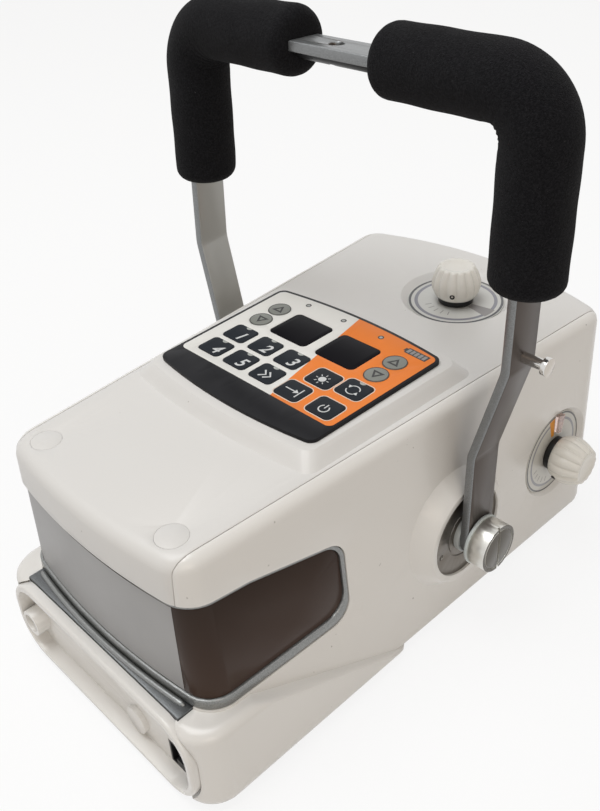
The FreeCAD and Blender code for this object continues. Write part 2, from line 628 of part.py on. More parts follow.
KEY_PLACES = {
    "preset_key_1": (-S.key_col, -S.key_row),
    "preset_key_2": (next_col, -S.key_row),
    "preset_key_3": (third_col, -S.key_row),
    "preset_key_4": (-S.key_col, lower_row),
    "preset_key_5": (next_col, lower_row),
    "fast_key": (third_col, lower_row),
    "store_key": (S.store_key_x, -S.low_key_y),
    "lamp_key": (S.lamp_key_x, -S.lamp_key_y),
    "display_turn_key": (S.right_key_x, -S.mode_key_y),
    "power_key": (S.right_key_x, -S.low_key_y),
}
ROUND_KEY_PLACES = {
    "kv_up_key": (-S.round_key_x, S.round_key_y + S.round_key_pitch),
    "kv_down_key": (-S.round_key_x, S.round_key_y),
    "mas_up_key": (S.round_key_x, S.round_key_y + S.round_key_pitch),
    "mas_down_key": (S.round_key_x, S.round_key_y),
}
DISPLAY_PLACES = {"kv_display": -S.display_x, "mas_display": S.display_x}

plate_tools = []
for label, (x, y) in KEY_PLACES.items():
    low = (x - S.key_width / 2, y - S.key_depth / 2, key_base)
    keep(label, rounded_block(label + "_cap", low, (S.key_width, S.key_depth, S.key_thick), S.key_corner))
    hole_low = (x - S.key_width / 2 - S.key_gap, y - S.key_depth / 2 - S.key_gap, S.platform_top - 1)
    plate_tools.append(rounded_block(label + "_hole", hole_low, (S.key_width + S.key_gap * 2,
                                     S.key_depth + S.key_gap * 2, S.plate_thick + 2), S.key_corner + S.key_gap))
for label, (x, y) in ROUND_KEY_PLACES.items():
    keep(label, cylinder(label + "_cap", S.round_key_radius, S.key_thick, x, y, key_base))
    plate_tools.append(cylinder(label + "_hole", S.round_key_radius + S.key_gap, S.plate_thick + 2,
                                x, y, S.platform_top - 1))
for label, x in DISPLAY_PLACES.items():
    width, depth = S.display_width - S.display_gap * 2, S.display_depth - S.display_gap * 2
    keep(label, rounded_block(label + "_glass", (x - width / 2, S.display_y - depth / 2, S.platform_top),
                              (width, depth, S.plate_thick), S.display_corner - S.display_gap))
    hole_low = (x - S.display_width / 2, S.display_y - S.display_depth / 2, S.platform_top - 1)
    plate_tools.append(rounded_block(label + "_hole", hole_low, (S.display_width, S.display_depth,
                                     S.plate_thick + 2), S.display_corner))
keep("keypad_plate", cut("plate", plate_form, *plate_tools))

# Handle pivots: ring, shaft, spacer, washer and slotted cap on each side
def both_sides(name, right):
    return fuse(name, right, mirrored(name + "_left", right))


def on_pivot(name, radius, start, length):
    return cylinder(name, radius, length, start, S.pivot_y, S.pivot_z, ONTO_X)


ring_face = pivot_face - S.ring_sunk
arm_inner = S.arm_x - S.strip_thick / 2
arm_outer = S.arm_x + S.strip_thick / 2
washer_start = arm_outer + S.side_play
cap_start = washer_start + S.washer_thick
ring_disc = on_pivot("ring_disc", S.ring_radius, ring_face - S.ring_depth, S.ring_depth)
ring_groove = cut("ring_groove", on_pivot("groove_outer", S.groove_radius, ring_face - S.groove_depth, S.ring_depth),
                  on_pivot("groove_inner", S.groove_radius - S.groove_width, ring_face - S.groove_depth, S.ring_depth))
spanner_holes = [cylinder(f"spanner_hole_{i}", S.spanner_hole, S.ring_depth, ring_face - S.ring_depth / 2,
                          S.pivot_y + S.spanner_circle * side, S.pivot_z - S.spanner_circle / 4, ONTO_X)
                 for i, side in enumerate((-1, 1))]
ring = cut("ring", ring_disc, on_pivot("ring_bore", S.shaft_radius, 0, S.arm_x), ring_groove, *spanner_holes)
keep("pivot_rings", both_sides("rings", ring))
keep("pivot_shafts", both_sides("shafts", on_pivot("shaft", S.shaft_radius, S.shaft_end, cap_start - S.shaft_end)))
spacer = cut("spacer", on_pivot("spacer_disc", S.spacer_radius, ring_face, arm_inner - S.side_play - ring_face),
             on_pivot("spacer_bore", S.shaft_radius, ring_face - 1, S.arm_x))
keep("pivot_spacers", both_sides("spacers", spacer))
washer = cut("washer", on_pivot("washer_disc", S.washer_radius, washer_start, S.washer_thick),
             on_pivot("washer_bore", S.shaft_radius, washer_start - 1, S.washer_thick + 2))
keep("pivot_washers", both_sides("washers", washer))
cap_disc = on_pivot("cap_disc", S.cap_radius, cap_start, S.cap_thick)
cap_face = cap_start + S.cap_thick
cap_slot = box("cap_slot", (cap_face - S.slot_depth, S.pivot_y - S.slot_width / 2, S.pivot_z - S.cap_radius * 2),
               (S.cap_thick, S.slot_width, S.cap_radius * 4))
cap_rim = cut("cap_rim", on_pivot("cap_rim_outer", S.cap_radius - S.slot_width * 1.2, cap_face - S.slot_depth / 2, 5),
              on_pivot("cap_rim_inner", S.cap_radius - S.slot_width * 1.7, cap_face - S.slot_depth, 6))
keep("pivot_caps", both_sides("caps", cut("cap", cap_disc, cap_slot, cap_rim)))

# Handle, drawn upright about its pivot axis and then leaned forwards
LEAN = FreeCAD.Rotation(FreeCAD.Vector(1, 0, 0), -float(S.handle_lean))


def on_handle(thing):
    return place(thing, 0, S.pivot_y, S.pivot_z, LEAN)


half_strip = S.strip_thick / 2
strip_body = new_body("strip_body")
strip_outline = new_sketch(strip_body, "XZ_Plane", "strip_outline", -S.strip_width / 2)
right_outer = [(S.arm_x + half_strip, -S.strip_width / 2), (S.arm_x + half_strip, S.joggle_low),
               (S.arm_out_x + half_strip, S.joggle_high), (S.arm_out_x + half_strip, S.handle_height + half_strip)]
right_inner = [(S.arm_out_x - half_strip, S.handle_height - half_strip), (S.arm_out_x - half_strip, S.joggle_high),
               (S.arm_x - half_strip, S.joggle_low), (S.arm_x - half_strip, -S.strip_width / 2)]
left_outer = [(-x, z) for x, z in reversed(right_outer)]
left_inner = [(-x, z) for x, z in reversed(right_inner)]
polygon(strip_outline, right_outer + left_outer + left_inner + right_inner)
pad(strip_body, strip_outline, S.strip_width, "strip_pad")


def edge_at(x_size, z_size):
    def wanted(edge):
        centre = edge.BoundBox.Center
        return (along("y")(edge) and abs(abs(centre.x) - float(x_size)) < 0.01
                and abs(centre.z - float(z_size)) < 0.01)
    return wanted


round_edges(strip_body, S.handle_bend + S.strip_thick,
            edge_at(S.arm_out_x + half_strip, S.handle_height + half_strip), "outer_bends")
round_edges(strip_body, S.handle_bend, edge_at(S.arm_out_x - half_strip, S.handle_height - half_strip), "inner_bends")
for height, name in ((S.joggle_low, "low_joggle"), (S.joggle_high, "high_joggle")):
    round_edges(strip_body, S.handle_bend,
                lambda e: along("y")(e) and abs(e.BoundBox.Center.z - float(height)) < 0.01, name)
round_edges(strip_body, S.strip_width / 2 - S.pivot_play,
            lambda e: along("x")(e) and e.BoundBox.ZMax < 0, "arm_ends")
pivot_bore = cylinder("pivot_bore", S.shaft_radius + S.pivot_play, S.arm_out_x * 4, -S.arm_out_x * 2, 0, 0, ONTO_X)
bar_hole = cylinder("bar_hole", S.bar_hole_radius, S.strip_thick * 4, -S.bar_hole_x, 0,
                    S.handle_height - S.strip_thick * 2)
keep("handle_bar", on_handle(cut("bar", strip_body, pivot_bore, bar_hole)))
liner_rod = cylinder("liner_rod", S.liner_width / 2, S.grip_end * 2, -S.grip_end, 0,
                     S.handle_height - half_strip + S.liner_width / 2 - S.liner_thick, ONTO_X)
liner_zone = box("liner_zone", (-S.grip_end, -S.liner_width, S.handle_height - S.strip_thick * 4),
                 (S.grip_end * 2, S.liner_width * 2, S.strip_thick * 4 - half_strip))
keep("bar_liner", on_handle(cut("liner", common("liner_form", liner_rod, liner_zone), bar_hole)))

# Foam grip: an elbow of round section over the strip's upper corner
bend_radius = S.handle_bend + half_strip
grip_post = cylinder("grip_post", S.grip_radius, S.handle_height - bend_radius - S.grip_low,
                     S.arm_out_x, 0, S.grip_low)
grip_beam = cylinder("grip_beam", S.grip_radius, S.arm_out_x - bend_radius - S.grip_end,
                     S.grip_end, 0, S.handle_height, ONTO_X)
grip_elbow = doc.addObject("Part::Torus", "grip_elbow")
bind(grip_elbow, "Radius1", bend_radius)
bind(grip_elbow, "Radius2", S.grip_radius)
grip_elbow.Angle3 = 90
place(grip_elbow, S.arm_out_x - bend_radius, 0, S.handle_height - bend_radius, REARWARD)


def rim_fillet(name, base, radius, wanted):
    doc.recompute()
    thing = doc.addObject("Part::Fillet", name)
    thing.Base = base
    thing.Edges = [(i, float(radius), float(radius)) for i, e in enumerate(base.Shape.Edges, 1) if wanted(e)]
    return thing


grip_form = fuse("grip_form",
                 rim_fillet("grip_foot", grip_post, S.grip_round, lies_at(S.grip_low)),
                 rim_fillet("grip_nose", grip_beam, S.grip_round,
                            lambda e: spans(e, "x") < 0.01 and abs(e.BoundBox.XMin - float(S.grip_end)) < 0.01),
                 grip_elbow)
right_grip = cut("right_foam", grip_form, strip_body)
keep("right_grip", on_handle(right_grip))
left_grip = cut("left_foam", mirrored("left_grip_form", grip_form), strip_body)
keep("left_grip", on_handle(left_grip))

# Strap stud on the outer face of the right arm
stud_rod = cylinder("stud_rod", S.stud_radius, S.stud_length, S.arm_out_x + half_strip, 0, S.stud_height, ONTO_X)
stud_cap = cylinder("stud_cap", S.stud_head, S.stud_head_thick,
                    S.arm_out_x + half_strip + S.stud_length, 0, S.stud_height, ONTO_X)
keep("strap_stud", on_handle(fuse("stud", stud_rod, stud_cap)))

# Collimator dials, spindles and fluted knobs
FLUTES = 16
dial_face = S.housing_top - S.dial_depth + S.dial_thick
top_plate = cylinder("top_plate", S.dial_radius, S.dial_thick, S.dial_x, S.dial_y, S.housing_top - S.dial_depth)
keep("top_dial_plate", cut("top_dial", top_plate, top_spindle_hole))
side_plate = cylinder("side_plate", S.side_dial_radius, S.dial_thick, S.side_dial_face,
                      S.side_dial_y, S.side_dial_z, ONTO_X)
keep("side_dial_plate", cut("side_dial", side_plate, side_spindle_hole))
side_face = S.side_dial_face + S.dial_thick


def knob(name):
    """A fluted crown knob, turned about its own Z axis."""
    body = new_body(name)
    profile = new_sketch(body, "XZ_Plane", name + "_profile")
    high = S.knob_height
    polygon(profile, [(as_size(0), as_size(0)), (S.knob_radius - 2.5, as_size(0)), (S.knob_radius, high * 0.28),
                      (S.knob_radius - 0.3, high * 0.5), (S.knob_top + 1, high - 2.6), (S.knob_top - 1, high - 0.6),
                      (S.knob_top - 3, high), (as_size(0), high)])
    revolve(body, profile, name + "_turned")
    flute_sketch = new_sketch(body, "XY_Plane", name + "_flute_outline")
    circle(flute_sketch, S.flute_radius, S.knob_radius + S.flute_radius / 3)
    doc.recompute()
    flute = body.newObject("PartDesign::Pocket", name + "_flute")
    flute.Profile = flute_sketch
    flute.Reversed = True
    bind(flute, "Length", S.knob_height)
    ring_of_flutes = body.newObject("PartDesign::PolarPattern", name + "_flutes")
    ring_of_flutes.Originals = [flute]
    ring_of_flutes.Axis = (flute_sketch, ["N_Axis"])
    ring_of_flutes.Angle = 360
    ring_of_flutes.Occurrences = FLUTES
    body.Tip = ring_of_flutes
    return body


def spindle(name, length):
    """A black collar on a long thin spindle that reaches down to the collimator."""
    body = new_body(name)
    profile = new_sketch(body, "XZ_Plane", name + "_profile")
    polygon(profile, [(as_size(0), -length), (S.spindle_radius, -length), (S.spindle_radius, as_size(0)),
                      (S.collar_radius, as_size(0)), (S.collar_radius, S.collar_height),
                      (as_size(0), S.collar_height)])
    revolve(body, profile, name + "_turned")
    return body


collar_gap = S.key_gap
top_start = dial_face + collar_gap
side_start = side_face + collar_gap
keep("top_spindle", place(spindle("top_spindle_body", top_start - S.frame_top - S.shutter_gap),
                          S.dial_x, S.dial_y, top_start))
keep("top_knob", place(knob("top_knob_body"), S.dial_x, S.dial_y, top_start + S.collar_height))
keep("side_spindle", place(spindle("side_spindle_body", side_start - S.frame_half - S.shutter_gap),
                           side_start, S.side_dial_y, S.side_dial_z, ONTO_X))
keep("side_knob", place(knob("side_knob_body"), side_start + S.collar_height,
                        S.side_dial_y, S.side_dial_z, ONTO_X))

# Chassis plate and what it carries
chassis_z = S.housing_base + S.wall
deck = chassis_z + S.chassis_thick
keep("chassis_plate", box("chassis", (-S.chassis_half, -S.chassis_rear, chassis_z),
                          (S.chassis_half * 2, S.chassis_rear + S.chassis_front, S.chassis_thick)))
keep("battery_pack", rounded_block("battery", (-S.battery_half, -S.battery_rear, deck),
                                   (S.battery_half * 2, S.battery_rear - S.battery_front, S.battery_height),
                                   S.block_round))
tank_length = S.tank_rear + S.tank_front
tank_block = rounded_block("tank_block", (-S.tank_half, -S.tank_rear, deck),
                           (S.tank_half * 2, tank_length, S.tank_height), S.block_round)
tank_cavity = box("tank_cavity", (S.tank_wall - S.tank_half, S.tank_wall - S.tank_rear, deck + S.tank_wall),
                  (S.tank_half * 2 - S.tank_wall * 2, tank_length - S.tank_wall * 2, S.tank_height))
port = cylinder("tank_port", S.tube_radius, S.frame_rear - S.tank_front + 1, 0, S.tank_front - 1, S.beam_z, ONTO_Y)
port_bore = cylinder("port_bore", S.tube_radius - S.tank_wall, S.frame_rear, 0,
                     S.tank_front - S.tank_wall - 1, S.beam_z, ONTO_Y)
keep("xray_tank", cut("tank", fuse("tank_form", tank_block, port), tank_cavity, port_bore))
lid_z = deck + S.tank_height
lid_plate = rounded_block("lid_plate", (-S.tank_half, -S.tank_rear, lid_z),
                          (S.tank_half * 2, tank_length, S.tank_lid), S.block_round)
transformer_top = S.beam_z - S.tube_radius - S.trim_gap
transformer_low = deck + S.tank_wall
transformer_rear = S.tank_wall + S.block_round - S.tank_rear
keep("high_voltage_transformer", box("transformer", (-S.transformer_half, transformer_rear, transformer_low),
                                     (S.transformer_half * 2, tank_length - S.tank_wall * 2 - S.block_round * 2,
                                      transformer_top - transformer_low)))
tube_length = (S.tank_half - S.tank_wall) * 2
tube_body = new_body("tube_body")
tube_profile = new_sketch(tube_body, "XZ_Plane", "tube_profile")
neck_end = S.tube_neck_length
polygon(tube_profile, [(as_size(0), as_size(0)), (S.tube_neck, as_size(0)), (S.tube_neck, neck_end),
                       (S.tube_radius, neck_end + S.tube_neck),
                       (S.tube_radius, tube_length - neck_end - S.tube_neck),
                       (S.tube_neck, tube_length - neck_end), (S.tube_neck, tube_length),
                       (as_size(0), tube_length)])
revolve(tube_body, tube_profile, "tube_turned")
keep("xray_tube", place(tube_body, -tube_length / 2, (S.tank_front - S.tank_rear) / 2, S.beam_z, ONTO_X))
board_z = lid_z + S.tank_lid + S.board_lift
standoffs = [cylinder(f"standoff_{i}", S.standoff_radius, S.board_lift, (S.board_half - S.standoff_inset) * side,
                      y, lid_z + S.tank_lid)
             for i, (side, y) in enumerate(((-1, S.standoff_inset - S.tank_rear), (1, S.standoff_inset - S.tank_rear),
                                            (-1, S.tank_front - S.standoff_inset), (1, S.tank_front - S.standoff_inset)))]
keep("tank_lid", fuse("lid", lid_plate, *standoffs))
keep("control_board", box("board", (-S.board_half, -S.tank_rear, board_z),
                          (S.board_half * 2, tank_length, S.board_thick)))

# Collimator: frame with the beam way, lamp, mirror and two pairs of shutters
frame_depth = S.frame_front - S.frame_rear
frame_back = S.frame_rear + S.tank_wall
frame_block = box("frame_block", (-S.frame_half, S.frame_rear, deck),
                  (S.frame_half * 2, frame_depth, S.frame_top - deck))
beam_way = box("beam_way", (-S.beam_half, frame_back, S.beam_z - S.beam_half),
               (S.beam_half * 2, frame_depth, S.beam_half * 2))
rear_port = cylinder("rear_port", S.tube_radius - S.tank_wall, frame_depth, 0, S.frame_rear - 1, S.beam_z, ONTO_Y)
lamp_y = (frame_back + S.frame_front) / 2
lamp_bore = cylinder("lamp_bore", S.lamp_radius / 2, S.frame_half, -S.frame_half - 1, lamp_y, S.beam_z, ONTO_X)
keep("collimator_frame", cut("frame", frame_block, beam_way, rear_port, lamp_bore))
keep("collimator_lamp", cylinder("lamp", S.lamp_radius, S.lamp_length, -S.frame_half, lamp_y, S.beam_z,
                                 ONTO_MINUS_X))
ASLANT = FreeCAD.Rotation(FreeCAD.Vector(0, 0, 1), 45)
half_across = (S.mirror_length - S.mirror_thick) * math.sqrt(0.5) / 2
half_along = (S.mirror_length + S.mirror_thick) * math.sqrt(0.5) / 2
mirror = box("mirror", (0, 0, 0), (S.mirror_length, S.mirror_thick, S.beam_half * 2))
keep("beam_mirror", place(mirror, -half_across, lamp_y - half_along, S.beam_z - S.beam_half, ASLANT))

first_layer = S.frame_front + S.shutter_gap
second_layer = first_layer + S.shutter_thick + S.shutter_gap
guide_y = second_layer + S.shutter_thick + S.shutter_gap
long_half = S.shutter_long / 2
for label, x in (("right_shutter", S.shutter_open), ("left_shutter", -S.shutter_open - S.shutter_width)):
    keep(label, box(label + "_plate", (x, first_layer, S.beam_z - long_half),
                    (S.shutter_width, S.shutter_thick, S.shutter_long)))
for label, z in (("upper_shutter", S.beam_z + S.shutter_open),
                 ("lower_shutter", S.beam_z - S.shutter_open - S.shutter_width)):
    keep(label, box(label + "_plate", (-long_half, second_layer, z),
                    (S.shutter_long, S.shutter_thick, S.shutter_width)))
guide_plate = box("guide_plate", (-S.frame_half, guide_y, deck), (S.frame_half * 2, S.shutter_thick, S.frame_top - deck))
guide_opening = box("guide_opening", (-S.beam_half, guide_y - 1, S.beam_z - S.beam_half),
                    (S.beam_half * 2, S.shutter_thick + 2, S.beam_half * 2))
post_x = long_half + S.shutter_gap * 2
post_width = S.frame_half - post_x
posts = [box(f"guide_post_{i}", (x, S.frame_front, z), (post_width, guide_y - S.frame_front, post_width))
         for i, (x, z) in enumerate((x, z) for x in (post_x, -S.frame_half) for z in (S.frame_top - post_width, deck))]
keep("shutter_guide", fuse("guide", cut("guide_open", guide_plate, guide_opening), *posts))

# Check every piece, then write one file for each
doc.recompute()
for thing in doc.Objects:
    if "Invalid" in thing.State or "Error" in thing.State:
        raise RuntimeError(f"{thing.Label} did not rebuild")
for piece in NODES:
    if piece.Shape.isNull() or not piece.Shape.isValid() or not piece.Shape.Solids:
        raise RuntimeError(f"{piece.Label} is not a sound solid")
os.makedirs("parts", exist_ok=True)
for piece in NODES:
    piece.Shape.exportStep(f"parts/{piece.Label}.step")
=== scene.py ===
import math

import bmesh
import bpy
from mathutils import Matrix, Vector


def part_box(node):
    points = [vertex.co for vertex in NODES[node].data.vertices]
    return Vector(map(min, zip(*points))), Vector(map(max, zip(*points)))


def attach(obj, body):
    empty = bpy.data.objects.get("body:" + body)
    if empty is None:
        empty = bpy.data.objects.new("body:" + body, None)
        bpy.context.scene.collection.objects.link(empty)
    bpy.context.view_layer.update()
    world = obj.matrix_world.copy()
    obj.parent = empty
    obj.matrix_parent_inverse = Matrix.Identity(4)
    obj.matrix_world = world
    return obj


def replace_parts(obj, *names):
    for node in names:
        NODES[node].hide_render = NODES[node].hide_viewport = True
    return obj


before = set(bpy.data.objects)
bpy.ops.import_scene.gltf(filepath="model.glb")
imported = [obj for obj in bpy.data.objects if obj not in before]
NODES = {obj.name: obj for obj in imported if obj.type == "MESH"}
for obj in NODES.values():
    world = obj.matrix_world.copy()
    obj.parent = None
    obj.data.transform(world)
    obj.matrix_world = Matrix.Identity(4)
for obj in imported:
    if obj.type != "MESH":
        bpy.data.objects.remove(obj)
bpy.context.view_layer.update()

MM = 0.001


# Node-tree helpers

COAT_ROUGHNESS = 0.12


class Tree:
    """Short ways to build a material's node tree round its main shader."""

    def __init__(self, name, color, rough, metallic=0.0, coat=0.0, specular=0.5):
        self.material = bpy.data.materials.new(name)
        self.material.use_nodes = True
        self.nodes = self.material.node_tree.nodes
        self.links = self.material.node_tree.links
        self.shader = self.nodes["Principled BSDF"]
        self.set("Base Color", (*color, 1.0))
        self.set("Roughness", rough)
        self.set("Metallic", metallic)
        self.set("Coat Weight", coat)
        self.set("Coat Roughness", COAT_ROUGHNESS)
        self.set("Specular IOR Level", specular)
        self.rough = rough
        self.place = self.nodes.new("ShaderNodeTexCoord").outputs["Object"]

    def set(self, socket, value):
        self.shader.inputs[socket].default_value = value

    def join(self, source, target):
        self.links.new(source, target)

    def math(self, operation, a, b=0.0, c=0.0):
        node = self.nodes.new("ShaderNodeMath")
        node.operation = operation
        for socket, value in zip(node.inputs, (a, b, c)):
            if isinstance(value, (int, float)):
                socket.default_value = value
            else:
                self.join(value, socket)
        return node.outputs[0]

    def noise(self, scale, detail=3.0, rough=0.5, stretch=(1, 1, 1)):
        mapping = self.nodes.new("ShaderNodeMapping")
        mapping.inputs["Scale"].default_value = stretch
        self.join(self.place, mapping.inputs["Vector"])
        node = self.nodes.new("ShaderNodeTexNoise")
        node.inputs["Scale"].default_value = scale
        node.inputs["Detail"].default_value = detail
        node.inputs["Roughness"].default_value = rough
        self.join(mapping.outputs[0], node.inputs["Vector"])
        return node.outputs["Fac"]

    def cells(self, scale):
        node = self.nodes.new("ShaderNodeTexVoronoi")
        node.inputs["Scale"].default_value = scale
        self.join(self.place, node.inputs["Vector"])
        return node.outputs["Distance"]

    def step(self, value, low, high):
        """0 at the low value, 1 at the high value, smooth between."""
        node = self.nodes.new("ShaderNodeMapRange")
        node.interpolation_type = "SMOOTHSTEP"
        node.inputs["From Min"].default_value = low
        node.inputs["From Max"].default_value = high
        self.join(value, node.inputs["Value"])
        return node.outputs["Result"]

    def mix(self, factor, a, b):
        node = self.nodes.new("ShaderNodeMix")
        node.data_type = "RGBA"
        for name, value in (("Factor", factor), ("A", a), ("B", b)):
            kind = "Factor_Float" if name == "Factor" else f"{name}_Color"
            socket = [s for s in node.inputs if s.identifier == kind][0]
            if isinstance(value, tuple):
                socket.default_value = (*value, 1.0)
            elif isinstance(value, (int, float)):
                socket.default_value = value
            else:
                self.join(value, socket)
        return [s for s in node.outputs if s.identifier == "Result_Color"][0]

    def paint(self, color):
        self.join(color, self.shader.inputs["Base Color"])

    def bump(self, height, strength, distance):
        node = self.nodes.new("ShaderNodeBump")
        node.inputs["Strength"].default_value = strength
        node.inputs["Distance"].default_value = distance
        self.join(height, node.inputs["Height"])
        self.join(node.outputs[0], self.shader.inputs["Normal"])

    def vary_rough(self, value, spread):
        """Roughness that wanders about its plain value."""
        shift = self.math("MULTIPLY_ADD", value, spread * 2, self.rough - spread)
        self.join(shift, self.shader.inputs["Roughness"])

    def split(self):
        node = self.nodes.new("ShaderNodeSeparateXYZ")
        self.join(self.place, node.inputs[0])
        return node.outputs

    def radius(self, centre_a, centre_b, a, b):
        """Distance in millimetres from an axis that runs along the third direction."""
        da = self.math("SUBTRACT", a, centre_a)
        db = self.math("SUBTRACT", b, centre_b)
        square = self.math("ADD", self.math("MULTIPLY", da, da), self.math("MULTIPLY", db, db))
        return self.math("MULTIPLY", self.math("SQRT", square), 1000.0)


def darker(color, factor):
    return tuple(c * factor for c in color)


# Places that the materials follow: pivots, dials, window and arms in metres, printed film in millimetres

PIVOT = (0.024, 0.072)
SIDE_DIAL = (0.127, 0.071)
TOP_DIAL = (0.016, 0.125)
WINDOW_TOP = 0.145
WINDOW_FOOT = 0.066
ARM_SPLIT = 0.05
FILM_HALF_WIDTH = 66.9
FILM_TAPER = 0.0239
FILM_CORNER = 4.0
FILM_FRONT = 44.8
FILM_REAR = -52.6
FILM_BOW = 6.0
FILM_BOW_REACH = 69.9
ORANGE_START = 7.6
ORANGE_SLOPE = -0.1937
PRINT_SOFT = 0.1
RING_SOFT = 0.12


# Materials

def white_plastic(name, color, rough=0.24):
    tree = Tree(name, color, rough, specular=0.45)
    cloud = tree.noise(9.0, 2.0)
    shade = tree.mix(cloud, darker(color, 0.965), color)
    specks = tree.step(tree.noise(260.0, 1.0), 0.80, 0.83)
    shade = tree.mix(tree.math("MULTIPLY", specks, 0.55), shade, (0.30, 0.28, 0.25))
    tree.paint(shade)
    tree.vary_rough(tree.noise(45.0, 4.0), 0.05)
    tree.bump(tree.noise(1500.0, 2.0), 0.05, 0.00008)
    return tree.material


def plain_plastic(name, color, rough, grain=1200.0, depth=0.00008, coat=0.0, metallic=0.0, specular=0.3):
    tree = Tree(name, color, rough, metallic=metallic, coat=coat, specular=specular)
    tree.paint(tree.mix(tree.noise(30.0), darker(color, 0.88), color))
    tree.vary_rough(tree.noise(70.0, 4.0), 0.05)
    tree.bump(tree.noise(grain, 2.0), 0.15, depth)
    return tree.material


def metallic_plastic(name, color):
    """Silver plastic with a fine metal flake in the paint."""
    tree = Tree(name, color, 0.36, metallic=0.75, coat=0.25)
    flake = tree.cells(2600.0)
    bright = tuple(min(1, c * 1.35) for c in color)
    tree.paint(tree.mix(tree.step(flake, 0.2, 0.6), bright, darker(color, 0.75)))
    tree.vary_rough(tree.noise(60.0, 3.0), 0.06)
    tree.bump(flake, 0.06, 0.00005)
    return tree.material


def smoked_plastic(name):
    """Smoked plastic that is dark brown at the window's top and a lighter brown at its foot."""
    tree = Tree(name, (0.030, 0.021, 0.018), 0.2, specular=0.1)
    brown = tree.step(tree.split()[2], WINDOW_TOP, WINDOW_FOOT)
    tree.paint(tree.mix(brown, (0.040, 0.026, 0.020), (0.060, 0.037, 0.028)))
    tree.vary_rough(tree.noise(25.0, 4.0), 0.035)
    tree.bump(tree.noise(35.0, 2.0), 0.03, 0.0006)
    return tree.material


def turned_metal(name, color, centre, rough=0.3, rings=9.0, face=0.55):
    """Metal with fine lathe rings about an axis along X, and painted shade that darkens the faces square to
    it.
    """
    tree = Tree(name, color, rough, metallic=0.9)
    y, z = tree.split()[1:3]
    radius = tree.radius(centre[0], centre[1], y, z)
    ring = tree.math("SINE", tree.math("MULTIPLY", radius, rings))
    # Painted shade: faces square to the axis take face times the metal's colour.
    facing = tree.nodes.new("ShaderNodeSeparateXYZ")
    tree.join(tree.nodes["Texture Coordinate"].outputs["Normal"], facing.inputs[0])
    square = tree.step(tree.math("ABSOLUTE", facing.outputs[0]), 0.7, 0.95)
    painted_shade_color = (color[0] * face, color[1] * face * 0.93, color[2] * face * 0.86)
    shade = tree.mix(tree.noise(30.0, 3.0), darker(color, 0.92), color)
    tree.paint(tree.mix(square, shade, painted_shade_color))
    tree.vary_rough(tree.noise(40.0, 3.0), 0.04)
    tree.bump(ring, 0.03, 0.00003)
    return tree.material


def foam(name):
    tree = Tree(name, (0.010, 0.010, 0.011), 0.95, specular=0.08)
    fine = tree.noise(900.0, 5.0, 0.7)
    pores = tree.cells(1400.0)
    shade = tree.mix(tree.step(fine, 0.35, 0.7), (0.005, 0.005, 0.006), (0.015, 0.015, 0.017))
    lint = tree.step(tree.noise(420.0, 1.0), 0.79, 0.82)
    tree.paint(tree.mix(tree.math("MULTIPLY", lint, 0.3), shade, (0.11, 0.11, 0.115)))
    tree.set("Sheen Weight", 0.03)
    tree.set("Sheen Roughness", 0.5)
    tree.bump(tree.math("ADD", fine, pores), 0.55, 0.0007)
    return tree.material


def arm_paint(name):
    """Both arms are one metal with painted reflection: silver edges and left arm, darker, warmer broad faces
    on the right arm.
    """
    tree = Tree(name, (0.36, 0.37, 0.37), 0.38, metallic=0.7)
    facing = tree.nodes.new("ShaderNodeSeparateXYZ")
    tree.join(tree.nodes["Texture Coordinate"].outputs["Normal"], facing.inputs[0])
    # Painted reflection: the broad faces take other colours than the silver edges.
    broad = tree.step(tree.math("ABSOLUTE", facing.outputs[0]), 0.6, 0.85)
    flake = tree.cells(2200.0)
    silver = tree.mix(tree.step(flake, 0.2, 0.6), (0.29, 0.30, 0.30), (0.20, 0.205, 0.21))
    # Painted reflection of brown surroundings on the right arm's broad faces.
    warm = tree.mix(tree.noise(18.0, 3.0), (0.062, 0.048, 0.040), (0.085, 0.068, 0.058))
    scuff = tree.step(tree.noise(120.0, 5.0, 0.6, (1, 1, 0.15)), 0.66, 0.74)
    # Painted reflection: the left arm's broad faces are painted lighter than the right's.
    on_left = tree.step(tree.math("MULTIPLY", tree.split()[0], -1.0), ARM_SPLIT, ARM_SPLIT + 0.02)
    shade = tree.mix(broad, silver, tree.mix(on_left, warm, (0.37, 0.365, 0.345)))
    tree.paint(tree.mix(tree.math("MULTIPLY", scuff, 0.3), shade, (0.40, 0.38, 0.36)))
    tree.vary_rough(tree.noise(40.0, 3.0), 0.06)
    tree.bump(flake, 0.05, 0.00005)
    return tree.material


